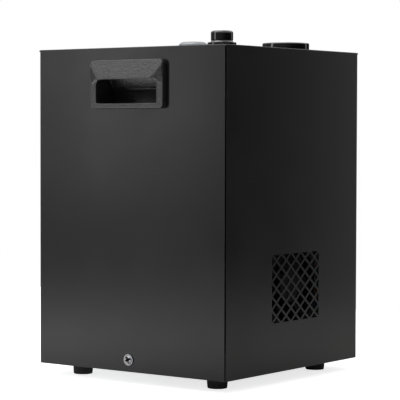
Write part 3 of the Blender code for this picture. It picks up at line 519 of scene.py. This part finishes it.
handle_abs = moulded("spark_grained_abs", ("#060607", "#242425"), (0.28, 0.44),
                     grain=1.9 * MM, depth=1.3 * MM, detail=2, Specular_IOR_Level=0.75)
gloss_abs = moulded("polished_black_abs", ("#0b0b0c", "#0e0e0f"), (0.10, 0.16),
                    grain=6 * MM, depth=0.02 * MM, detail=1, Coat_Weight=0.3, Coat_Roughness=0.05)
nylon = moulded("matt_black_nylon", ("#161617", "#1f1f20"), (0.40, 0.52), 0.8 * MM, 0.06 * MM)
fan_plastic = moulded("matt_black_fan_plastic", ("#040405", "#08080a"), (0.55, 0.70),
                      grain=0.8 * MM, depth=0.04 * MM, Specular_IOR_Level=0.2)
red_abs = moulded("polished_red_abs", ("#a3130f", "#ab1712"), (0.15, 0.22),
                  grain=5 * MM, depth=0.02 * MM, detail=1, Coat_Weight=0.3)
green_lens = moulded("green_polycarbonate_lens", ("#1c7a33", "#23863b"), (0.10, 0.16),
                     grain=3 * MM, depth=0.02 * MM, detail=1, Coat_Weight=0.3)
polythene = moulded("milky_polythene", ("#d6d9d2", "#e2e4de"), (0.38, 0.50),
                    grain=4 * MM, depth=0.15 * MM, detail=2, Subsurface_Weight=0.4, Subsurface_Scale=0.004)
silicone = moulded("clear_silicone_tube", ("#c3cbcb", "#d3d9d9"), (0.18, 0.28),
                   grain=3 * MM, depth=0.03 * MM, detail=1, Transmission_Weight=0.5)
wire_cover = moulded("red_silicone_wire_cover", ("#8f1b14", "#9c231b"), (0.45, 0.55), 0.6 * MM, 0.03 * MM)
ceramic = moulded("glazed_steatite_ceramic", ("#d8d2c2", "#e6e1d4"), (0.30, 0.50), 1.5 * MM, 0.05 * MM)
white_print = moulded("white_pad_print", ("#dcdcda", "#e8e8e6"), (0.50, 0.60), 0.8 * MM, 0.01 * MM)


def rubber_skin(name, tone, bloom):
    """Black rubber: a dull grain, with a pale bloom of dust over it in broad patches."""
    mat, tree, shader, place = new_material(name, tone[0], 0.8, ior=1.52)
    grain = add(tree, "ShaderNodeTexNoise", {"Scale": 1 / (0.7 * MM), "Detail": 3}, Vector=place)
    patches = add(tree, "ShaderNodeTexNoise", {"Scale": 1 / (9 * MM), "Detail": 4}, Vector=place)
    base = drive(tree, shader, grain.outputs["Fac"], tone, (0.72, 0.88), 0.08 * MM)
    amount = add(tree, "ShaderNodeMapRange", {"From Min": 0.5, "From Max": 0.8, "To Max": 0.35},
                 Value=patches.outputs["Fac"])
    dusty = add(tree, "ShaderNodeMix", {"data_type": 'RGBA', 7: linear(bloom)},
                _0=amount.outputs["Result"], _6=base)
    tree.links.new(dusty.outputs[2], shader.inputs["Base Color"])
    return mat


rubber = rubber_skin("moulded_black_rubber", ("#161616", "#1d1d1d"), "#343331")
print("plastics and rubber ready")


# %% [markdown]
# ## Bare and plated metals
#
# A metal has no colour of its own apart from its reflection, so its character lies in
# how it was made: a turned part has rings round its axis, rolled sheet has fine lines one
# way, zinc plating is cloudy with a faint blue, castings are sandy, and chrome is nearly
# a mirror. Each recipe below draws that mark and keeps the default index for a metal.

# %% Metals
def cloudy_metal(name, tone, gloss, size, depth):
    """A metal with a cloudy or sandy skin of the given grain size."""
    mat, tree, shader, place = new_material(name, tone[0], gloss[0], metallic=1.0)
    cloud = add(tree, "ShaderNodeTexNoise", {"Scale": 1 / size, "Detail": 5, "Roughness": 0.6},
                Vector=place)
    drive(tree, shader, cloud.outputs["Fac"], tone, gloss, depth)
    return mat


def lined_metal(name, tone, gloss, stretch, depth=0.02 * MM):
    """A metal with fine lines: noise squeezed across the lines, with its scale given per metre."""
    mat, tree, shader, place = new_material(name, tone[0], gloss[0], metallic=1.0)
    squeezed = add(tree, "ShaderNodeMapping", {"Scale": stretch}, Vector=place)
    lines = add(tree, "ShaderNodeTexNoise", {"Scale": 1.0, "Detail": 4, "Roughness": 0.7},
                Vector=squeezed.outputs[0])
    drive(tree, shader, lines.outputs["Fac"], tone, gloss, depth)
    return mat


WAVE_PERIOD = 0.314


def ringed_metal(name, tone, gloss, centre, pitch, metallic=1.0, depth=0.02 * MM):
    """Turned or wound metal: rings about an upright axis through centre, one pitch apart.

    A wave of scale 1 has a period of 0.314, so the scale for a pitch is 0.314 / pitch.
    """
    mat, tree, shader, place = new_material(name, tone[0], gloss[0], metallic=metallic)
    centred = add(tree, "ShaderNodeMapping", {"Location": tuple(-c for c in centre)}, Vector=place)
    rings = add(tree, "ShaderNodeTexWave", {
        "wave_type": 'RINGS', "rings_direction": 'Z', "Scale": WAVE_PERIOD / pitch, "Distortion": 0.4,
        "Detail": 2.0}, Vector=centred.outputs[0])
    drive(tree, shader, rings.outputs["Fac"], tone, gloss, depth, (0.2, 0.8))
    return mat


def plated_screw(name, tone, gloss, recess_shade):
    """Nickel plate, with shade painted near black into the driver's recess and the dome's groove."""
    mat, tree, shader, place = new_material(name, tone[0], gloss[0], metallic=1.0)
    cloud = add(tree, "ShaderNodeTexNoise", {"Scale": 1 / (1.2 * MM), "Detail": 4}, Vector=place)
    base = drive(tree, shader, cloud.outputs["Fac"], tone, gloss, 0.02 * MM)
    # Painted shade: where the recess attribute is high, the base colour is mixed towards the near-black
    # recess shade.
    recess = add(tree, "ShaderNodeAttribute", {"attribute_name": "recess"})
    shaded_base = add(tree, "ShaderNodeMix", {"data_type": 'RGBA', 7: linear(recess_shade)},
                _0=recess.outputs["Fac"], _6=base)
    tree.links.new(shaded_base.outputs[2], shader.inputs["Base Color"])
    return mat


# 050505 is painted shade for the driver's recess and the groove round the dome.
screw_plate = plated_screw("nickel_plated_screw", ("#8d8e91", "#a2a3a6"), (0.22, 0.32), "#050505")
zinc = cloudy_metal("zinc_plated_steel", ("#8f949b", "#a9adb3"), (0.30, 0.45), 3.0 * MM, 0.02 * MM)
chrome = cloudy_metal("bright_chrome_plate", ("#c4c6c9", "#cfd1d3"), (0.10, 0.18), 4.0 * MM, 0.008 * MM)
cast_aluminium = cloudy_metal("sand_cast_aluminium", ("#84868a", "#9b9da0"), (0.50, 0.62),
                              0.8 * MM, 0.12 * MM)
copper = cloudy_metal("drawn_copper_tube", ("#a9653f", "#b8764f"), (0.28, 0.42), 5.0 * MM, 0.02 * MM)
brass = cloudy_metal("machined_brass", ("#a98b4a", "#bb9d5c"), (0.25, 0.38), 3.0 * MM, 0.02 * MM)
bronze = cloudy_metal("sintered_bronze", ("#7d6337", "#a08350"), (0.55, 0.75), 0.6 * MM, 0.20 * MM)
rolled_aluminium = lined_metal("rolled_aluminium_sheet", ("#9ea1a4", "#b6b8ba"), (0.28, 0.42),
                               stretch=(900, 900, 25))
ground_steel = lined_metal("ground_steel_rod", ("#8d8f92", "#a3a5a8"), (0.22, 0.36),
                           stretch=(120, 120, 2500))
turned_aluminium = ringed_metal("blasted_anodised_aluminium", ("#86888b", "#929497"), (0.50, 0.60),
                                middle_of("outlet_collar"), pitch=0.6 * MM, metallic=0.4)
print("metals ready")


# %% [markdown]
# ## Finishes for the electrics
#
# A circuit board is glass laminate under green lacquer, with copper tracks that show
# through it as paler lines. A transformer is a stack of thin steel plates, so its edge is
# striped. A solenoid is enamelled wire wound in layers, which gives it fine rings along
# its length. All three are plain periodic patterns, drawn at about twice the real pitch.

# %% Board, laminations and winding
def circuit_board(name):
    """Green lacquer over tracks: paler lines where a grid of bricks has its mortar."""
    mat, tree, shader, place = new_material(name, "#0d4a22", 0.3)
    tracks = add(tree, "ShaderNodeTexBrick", {
        "Scale": 1.0, "Mortar Size": 0.5 * MM, "Mortar Smooth": 0.2, "Brick Width": 14 * MM,
        "Row Height": 3.2 * MM, "Color1": (0, 0, 0, 1), "Color2": (0.25, 0.25, 0.25, 1),
        "Mortar": (1, 1, 1, 1)}, Vector=place)
    drive(tree, shader, tracks.outputs["Color"], ("#0b3f1d", "#1d6b38"), (0.32, 0.24), 0.04 * MM,
          (0.1, 0.9))
    return mat


def striped(name, tone, gloss, direction, pitch, metallic, depth):
    """Parallel ridges one pitch apart: a band wave, scaled from its own period to the pitch."""
    mat, tree, shader, place = new_material(name, tone[0], gloss[0], metallic=metallic)
    bands = add(tree, "ShaderNodeTexWave", {"wave_type": 'BANDS', "bands_direction": direction,
                                            "Scale": WAVE_PERIOD / pitch, "Distortion": 0.3},
                Vector=place)
    drive(tree, shader, bands.outputs["Fac"], tone, gloss, depth, (0.1, 0.9))
    return mat


board_lacquer = circuit_board("lacquered_circuit_board")
laminations = striped("varnished_core_plates", ("#3b3c3f", "#5e6064"), (0.35, 0.50), 'Z',
                      pitch=1.0 * MM, metallic=0.7, depth=0.15 * MM)
enamelled_wire = striped("enamelled_winding", ("#7a3a1c", "#a85a2c"), (0.18, 0.30), 'Z',
                         pitch=0.8 * MM, metallic=0.6, depth=0.25 * MM)
print("finishes in all:", len(bpy.data.materials))


# %% [markdown]
# ## Dressing a node
#
# Some nodes keep their own mesh and only get a finish; others are hidden and a finer piece
# stands for them. Both are one call, so that every piece ends up with a material and a body
# to ride on.

# %% Finish a node or stand in for it
bodies = frame["record"]["behaviour"]["bodies"]
body_names = {node: body for body, members in bodies.items() for node in members}


def finish(obj, mat):
    """Give an object one material, in place of any that it has."""
    obj.data.materials.clear()
    obj.data.materials.append(mat)


def add_detail(piece, node, mat):
    """Add a piece that goes with a node: it takes a material and rides on the node's body."""
    finish(piece, mat)
    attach(piece, body_names[node])


def stand_in(piece, node, mat):
    """Let a new piece stand for a node, which is hidden."""
    add_detail(piece, node, mat)
    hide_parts(node)


def in_metres(corners):
    """Millimetre corners to metres."""
    return (np.array(corners, float) * MM).tolist()


print("bodies:", sorted(set(body_names.values())))


# %% [markdown]
# ## The folded cover, tray and sunk panel
#
# These are bent sheet. The solids already have every hole, so each is copied, welded and
# bevelled by a fraction of a millimetre, the radius that a powder coat leaves on a sheared
# edge. The bevel is what makes the open corner seams and the punched diamonds read as
# edges of real sheet.

# %% Sheet metal
SHEET_EDGE = 0.25 * MM
for node, mat in (("cover_shell", case_coat), ("base_tray", zinc), ("rear_panel", panel_coat)):
    stand_in(softened(node, SHEET_EDGE), node, mat)
print("sheet metal softened")


# %% [markdown]
# ## The pocket handle
#
# One moulding does the frame, the hood over the fingers and the pocket behind it. It is a
# skin over loops: each loop is a rounded rectangle in the plane of the case side, and the
# loops run from the back of the pocket shell, out over the frame, across its face and down
# into the pocket. Only the hood needs more. It rises from the frame as the lowest of three
# tilted planes, which meet in hips like those of a roof, and the lowest is taken softly so
# that the hips are rounded.

# %% Handle loops
HOOD_RISE, RIDGE_DROP, HOOD_END = 3.3, 16.0, 10.2      # the hood's height, and its ridge from top and ends
FRAME_PROUD, FRAME_EDGE = 5.0, 0.45                    # how far the frame stands out, and its soft edge
MOUTH_IN, MOUTH_FLOOR, MOUTH_TOP = 7.2, 4.3, 27.6      # the pocket's mouth, from the frame's sides and foot
MOUTH_EDGE = 0.5
POCKET_ROOMS = [    # (out from the case side, floor, ceiling, ceiling's corner radius), mouth to back
    (1.6, 4.8, 27.1, 5.4), (0.6, 4.8, 33.0, 4.0), (-0.4, 4.8, 38.6, 2.5), (-13.0, 4.8, 39.2, 0.4),
    (-14.6, 4.8, 29.0, 0.4), (-19.8, 4.8, 19.9, 0.4), (-19.4, 4.8, 19.2, 0.4), (-19.3, 4.8, 18.2, 0.4),
    (-20.2, 4.8, 17.4, 0.4), (-25.6, 4.8, 6.4, 0.4)]


def dense_rectangle(half, low, high, radius_low, radius_high, arc=7, side=40):
    """A rounded rectangle whose straight sides are divided as well, in (y, z)."""
    corners = [(half, high, radius_high), (-half, high, radius_high),
               (-half, low, radius_low), (half, low, radius_low)]
    arcs = rounded(corners, arc, closed=True).reshape(4, arc, 2)
    t = np.linspace(0, 1, side + 2)[1:-1][None, :, None]
    sides = arcs[:, -1:] + (np.roll(arcs, -1, axis=0)[:, :1] - arcs[:, -1:]) * t
    return np.concatenate([arcs, sides], axis=1).reshape(-1, 2)


def soft_lowest(values, softness):
    """The lowest of several values, rounded where they meet: -s log(sum(exp(-value / s)))."""
    values = np.stack(values)
    base = values.min(axis=0)
    return base - softness * np.log(np.exp(-(values - base) / softness).sum(axis=0))


def hood_height(y, z, top, half):
    """How far the hood stands off the frame, in mm, at width y and height z.

    The slope rises from 0 at the top to its full height at the ridge, each end rises
    from 0 at the frame's edge to full at the ridge's end, and the lip falls away below a
    line that runs along the ridge and down to the frame's edge.
    """
    ridge = top - RIDGE_DROP
    slope = HOOD_RISE * (top - z) / RIDGE_DROP
    outward = (half - np.abs(y)) / HOOD_END
    end = HOOD_RISE * outward + 0.075 * (z - ridge)
    line = ridge - 6.0 * np.clip(1 - outward, 0, 1)
    lip = HOOD_RISE * np.clip(outward, 0, 1) - 1.6 * (line - z)
    return np.clip(soft_lowest([slope, end, lip, np.full_like(y, HOOD_RISE)], 0.10), 0, None)


def handle_loops(side):
    """Loops of a handle from the back of its shell to the back of its pocket."""
    low_corner, high_corner = box_of("handle_left" if side < 0 else "handle_right")
    half, low, high = high_corner[1] / MM, low_corner[2] / MM, high_corner[2] / MM
    loops = []

    def loop(out, outline, lift=None):
        """One loop: an outline at a distance out from the case side, in mm."""
        depth = np.full(len(outline), out) if lift is None else out + lift
        loops.append(np.column_stack([side * (case_high[0] / MM + depth), outline]))

    shell = dense_rectangle(half - 5.8, low + 2.7, high - 2.8, 3, 3)
    loop(-28, shell)
    loop(0.3, shell)
    base = dense_rectangle(half, low, high, 4.0, 5.5)
    loop(0.3, base)
    loop(0.9, base)
    for turn in np.linspace(0, math.pi / 2, 5):
        draw_in = 0.5 + FRAME_EDGE * (1 - math.cos(turn))
        outline = dense_rectangle(half - draw_in, low + draw_in, high - draw_in, 3.6, 4.2)
        loop(FRAME_PROUD - FRAME_EDGE * (1 - math.sin(turn)), outline)
    face = loops[-1][:, 1:]
    top = face[:, 1].max()
    mouth = dense_rectangle(half - MOUTH_IN, low + MOUTH_FLOOR, low + MOUTH_TOP, 2.2, 6.0)
    for share in 1 - (1 - np.linspace(0, 1, 36)[1:]) ** 1.4:
        outline = face + (mouth - face) * share
        rise = hood_height(outline[:, 0], outline[:, 1], top, half - 0.5 - FRAME_EDGE)
        loop(FRAME_PROUD, outline, rise)
    lip = loops[-1][:, 0] * side - case_high[0] / MM
    for turn in np.linspace(0, math.pi / 2, 4)[1:]:
        draw_in = MOUTH_EDGE * math.sin(turn)
        outline = dense_rectangle(half - MOUTH_IN - draw_in, low + MOUTH_FLOOR + draw_in,
                                  low + MOUTH_TOP - draw_in, 2.0, 5.6)
        loop(-MOUTH_EDGE * (1 - math.cos(turn)), outline, lip)
    for out, floor, ceiling, radius in POCKET_ROOMS:
        loop(out, dense_rectangle(half - MOUTH_IN - MOUTH_EDGE, low + floor, low + ceiling,
                                  min(1.8, radius), radius))
    return np.stack(loops) * MM


for side, name in ((-1, "handle_left"), (1, "handle_right")):
    stand_in(skin(f"{name}_moulding", handle_loops(side), 40), name, handle_abs)
print("handles:", handle_loops(-1).shape[:2], "loops by points")


# %% [markdown]
# ## What stands on the top
#
# Three turned pieces stand on the top plate: the fog outlet's collar with its domed lip,
# the low filler cap, and the output knob with its flared skirt. On the real machine these
# come off a lathe or out of a polished mould, so a profile turned about an upright axis is
# the true shape, and a small radius at each corner gives the thin bright lines.

# %% Collar, filler and knob
def upright(name, node, corners, mat):
    """Turn a profile of (radius, height, corner radius) in mm about a node's own axis."""
    x, y, _ = middle_of(node)
    stand_in(turned(f"{name}_turned", in_metres(corners), (x, y, 0)), node, mat)


upright("outlet_collar", "outlet_collar", [
    (8, 294, 0.4), (11, 294, 0.4), (11, 310.3, 0.1), (18, 310.3, 0.2), (18, 312.4, 0.7), (14.9, 312.4, 0.5),
    (14.2, 313.2, 0.5), (14.2, 316.6, 1.2), (12.2, 318.6, 2.0), (9.6, 319.4, 1.5), (8.4, 319.4, 0.3),
    (8, 318.6, 0.4)], turned_aluminium)
upright("filler_cap", "filler_cap", [
    (0, 311, 0), (11.3, 311, 0.3), (11.5, 314.4, 0.3), (20.6, 314.4, 0.3), (20.6, 310.9, 0.2),
    (22.75, 310.9, 0.3), (22.75, 318.8, 1.3), (20.2, 318.8, 0.4), (19.6, 318.3, 0.5), (0, 318.3, 0)],
    gloss_abs)
upright("cap_seal", "cap_seal", [
    (13, 312.6, 0.3), (19, 312.6, 0.3), (19, 314.1, 0.3), (13, 314.1, 0.3)], rubber)
upright("filler_neck", "filler_neck", [
    (8, 232, 0.2), (10, 232, 0.3), (10, 243, 0.3), (15, 243, 0.3), (15, 310.3, 0.1), (20, 310.3, 0.2),
    (20, 312.3, 0.5), (12.5, 312.3, 0.5), (12.5, 246, 0.5), (8, 246, 0.5)], nylon)
upright("output_knob", "output_knob", [
    (0, 321.3, 0), (3.3, 321.3, 0.1), (3.3, 314, 0.2), (8.5, 314, 0.2), (8.5, 311, 0.2), (13, 311, 0.2),
    (13, 313.2, 0.3), (10.6, 313.4, 0.6), (9.5, 314.9, 0.5), (10.1, 315.3, 0.3), (10.1, 323.85, 2.3),
    (0, 323.85, 0)], gloss_abs)
print("turned pieces stand on the top")


# %% [markdown]
# ## The mark on the knob
#
# A bare knob would not show that it turns. Its skirt and top carry one short white line,
# pad-printed as on most mixer and lamp controls, and the plate round it has eleven plain
# ticks. Both are thin films of ink, a twentieth of a millimetre thick.

# %% Printed lines
INK = 0.05 * MM


def ink_strokes(name, strokes, height):
    """Thin boxes: each stroke is (x, y) from, (x, y) to and a width, lying at a height."""
    points, faces = [], []
    box_faces = np.array([(0, 1, 2, 3), (4, 7, 6, 5), (0, 4, 5, 1), (1, 5, 6, 2), (2, 6, 7, 3),
                          (3, 7, 4, 0)])
    for start, end, width in strokes:
        start, end = np.array(start, float), np.array(end, float)
        along = (end - start) / np.linalg.norm(end - start)
        across = np.array([-along[1], along[0]]) * width / 2
        ring = [start - across, start + across, end + across, end - across]
        faces += (box_faces + len(points)).tolist()
        points += [(*corner, height) for corner in ring] + [(*corner, height + INK) for corner in ring]
    return store_mesh(name, np.array(points), faces)


knob_middle = middle_of("output_knob")[:2]
knob_top = box_of("output_knob")[1][2]
pointer = (knob_middle + (0, 2 * MM), knob_middle + (0, 7.4 * MM), 1.0 * MM)
add_detail(ink_strokes("knob_pointer", [pointer], knob_top - INK), "output_knob", white_print)
ticks = []
for turn in np.radians(np.linspace(0, -270, 11)):
    direction = np.array([-math.sin(turn), math.cos(turn)])
    ticks.append((knob_middle + direction * 14.2 * MM, knob_middle + direction * 16.6 * MM, 0.7 * MM))
add_detail(ink_strokes("dial_ticks", ticks, case_high[2]), "cover_shell", white_print)
print("printed", len(ticks), "ticks and a pointer")


# %% [markdown]
# ## Screws with a cross recess
#
# Each side is held by one screw with a wide low head, and each foot by another. The head
# is a height over a disc: a dome that ends in a flat rim, less a recess where the disc is
# inside a cross. The cross has tapered arms, so the recess is the region near either of
# two lines, and its wall is steep but not upright, as the driver leaves it.

# %% Cross-head screws
def cross_head(radius, rise, rim, recess, turn, around=96, rings=44):
    """Loops of a head from rim to centre, as (a, b, height, painted shade in the recess and groove).

    Inside 0.8 of the radius the height above the rim is rise x (1 - (r / 0.8 radius)^2)^0.7,
    with a groove where the dome meets the rim. The recess is taken off where the distance to
    the nearer cross line is under the arm's half width, which tapers outwards.
    """
    r = radius * (1 - np.linspace(0, 1, rings)) ** 0.9
    r[-1] = 0.02 * radius
    angle = np.linspace(0, math.tau, around, endpoint=False)
    a, b = r[:, None] * np.cos(angle), r[:, None] * np.sin(angle)
    inward = np.clip(1 - (r[:, None] / (0.8 * radius)) ** 2, 0, 1)
    groove = 0.35 * rim * np.exp(-((r[:, None] / radius - 0.8) / 0.05) ** 2)
    u = a * math.cos(turn) + b * math.sin(turn)
    v = b * math.cos(turn) - a * math.sin(turn)
    reach = 0.66 * radius
    arms = [np.maximum(np.abs(p) - 0.19 * radius * (1.3 - np.abs(q) / reach), np.abs(q) - reach)
            for p, q in ((u, v), (v, u))]
    sunk = np.clip(0.5 - np.minimum(*arms) / (0.10 * radius), 0, 1)
    height = rim + rise * inward ** 0.7 - groove - recess * sunk * (0.35 + 0.65 * inward)
    # The fourth value marks painted shade: full in the recess, half in the groove.
    return np.stack([a, b, height, np.maximum(sunk, groove / (0.7 * rim))], axis=-1)


def screw_loops(radius, rise, rim, recess, shank, length, turn):
    """A shank, the flat under the head, its side, and the head itself, along +height."""
    head = cross_head(radius, rise, rim, recess, turn)
    angle = np.linspace(0, math.tau, head.shape[1], endpoint=False)
    lead = [(shank * 0.7, -length), (shank, -length + 0.3 * shank), (shank, 0), (radius - 0.1 * rim, 0),
            (radius, 0.2 * rim), (radius, 0.8 * rim)]
    sides = [np.column_stack([size * np.cos(angle), size * np.sin(angle),
                              np.full_like(angle, height), np.zeros_like(angle)]) for size, height in lead]
    return np.concatenate([np.stack(sides), head])


def screw(node, loops, place, mat):
    """Store a screw's skin with its recess as an attribute, so the finish can paint shade in there."""
    piece = skin(f"{node}_head", place, 30)
    depth = piece.data.attributes.new("recess", 'FLOAT', 'POINT')
    # At the fans' middles the painted shade is none at the shank's end and full at the bottom of the recess.
    poles = [0.0, 1.0]    # the fans' middles: the shank's end, and the bottom of the recess
    depth.data.foreach_set("value", np.concatenate([loops[..., 3].ravel(), poles]).astype(np.float32))
    stand_in(piece, node, mat)


for side, name in ((-1, "left"), (1, "right")):
    node = f"cover_screw_{name}"
    seat = case_high[0] + 0.3 * MM
    loops = screw_loops(radius=5.1 * MM, rise=1.3 * MM, rim=0.8 * MM, recess=1.5 * MM,
                        shank=2.5 * MM, length=8.5 * MM, turn=0.35)
    place = np.stack([side * (seat + loops[..., 2]), side * loops[..., 0],
                      loops[..., 1] + middle_of(node)[2]], axis=-1)
    screw(node, loops, place, screw_plate)

for node in [name for name in nodes if name.startswith("foot_screw_")]:
    loops = screw_loops(radius=4.0 * MM, rise=1.2 * MM, rim=0.5 * MM, recess=1.1 * MM,
                        shank=2.0 * MM, length=7.0 * MM, turn=0.2)
    x, y, _ = middle_of(node)
    under = box_of(node)[0][2] + 2.3 * MM
    place = np.stack([loops[..., 0] + x, loops[..., 1] + y, under - loops[..., 2]], axis=-1)
    screw(node, loops, place, screw_plate)
print("screws cut")


# %% [markdown]
# ## Feet
#
# Each foot is a moulded rubber bobbin: a slight taper, a rounded tread and a counterbore
# for its screw. Turning its profile gives all of that at once.

# %% Rubber feet
for node in [name for name in nodes if name.startswith("foot_") and "screw" not in name]:
    upright(node, node, [(2.3, 10.7, 0.2), (10, 10.7, 0.8), (9, 0, 0.9), (5, 0, 0.5), (5, 5, 0.3),
                         (2.3, 5, 0.2)], rubber)
print("feet ready")


# %% [markdown]
# ## Sockets, switch and button
#
# The fittings in the sunk panel are moulded nylon with thin lips. Their solids already
# have the pins, slots and cups in place, so they are copied with softened edges. The
# round ones are turned afresh, since a bought button is as smooth as the knob.

# %% Rear fittings
for node, mat, edge in (("power_inlet", nylon, 0.30), ("switch_frame", nylon, 0.30),
                        ("fuse_drawer", nylon, 0.25), ("power_rocker", red_abs, 0.40),
                        ("dmx_in", nylon, 0.25), ("dmx_out", nylon, 0.25)):
    stand_in(softened(node, edge * MM), node, mat)


def rearward(name, node, corners, mat):
    """Turn a profile of (radius, y, corner radius) in mm about a node's axis, along the depth."""
    x, _, z = middle_of(node)
    stand_in(turned(f"{name}_turned", in_metres(corners), (x, 0, z), "y", around=64), node, mat)


rearward("button_bezel", "button_bezel", [
    (6.3, 85, 0.2), (7.7, 85, 0.2), (7.7, 100.8, 0.1), (9, 100.8, 0.2), (9, 102.2, 0.5), (8.2, 103, 0.5),
    (6.5, 103, 0.2), (6.3, 102.6, 0.2)], chrome)
rearward("fog_button", "fog_button", [
    (0, 90, 0), (6, 90, 0.3), (6, 106.2, 0.9), (4.4, 106.6, 0.6), (3.2, 106.1, 0.8), (0, 106.0, 0)], red_abs)
rearward("ready_lamp", "ready_lamp", [
    (0, 94, 0), (2.8, 94, 0.2), (2.8, 100.8, 0.1), (3.8, 100.8, 0.2), (3.7, 102.6, 0.6), (2.6, 104.6, 1.6),
    (0, 105, 0)], green_lens)
print("rear fittings ready")


# %% [markdown]
# ## Everything behind the skin
#
# The fan shows through the diamonds, and the rest shows only when the cover is taken off.
# These solids are already the right shape, so they keep their meshes and each gets the
# finish of the material that it is made of.

# %% Inner pieces
inner_finishes = {
    fan_plastic: ["fan_frame", "fan_rotor"],
    nylon: ["board_rail_front", "board_rail_rear", "neck_nut"],
    zinc: ["fan_bracket", "clip_nut_left", "clip_nut_right", "collar_nut", "pot_nut", "potentiometer",
           "heater_cartridge_left", "heater_cartridge_right", "heater_stand"],
    polythene: ["fluid_tank"],
    silicone: ["suction_tube", "delivery_tube"],
    wire_cover: ["heater_lead"],
    ceramic: ["insulator_left", "insulator_right"],
    cast_aluminium: ["heater_block"],
    rolled_aluminium: ["heat_shield"],
    copper: ["outlet_pipe"],
    brass: ["thermostat", "pump_body"],
    bronze: ["intake_filter"],
    ground_steel: ["pump_plunger", "pot_shaft"],
    enamelled_wire: ["pump_coil"],
    laminations: ["transformer"],
    board_lacquer: ["control_board"],
}
for mat, members in inner_finishes.items():
    for node in members:
        finish(nodes[node], mat)
print("inner pieces finished:", sum(len(members) for members in inner_finishes.values()))
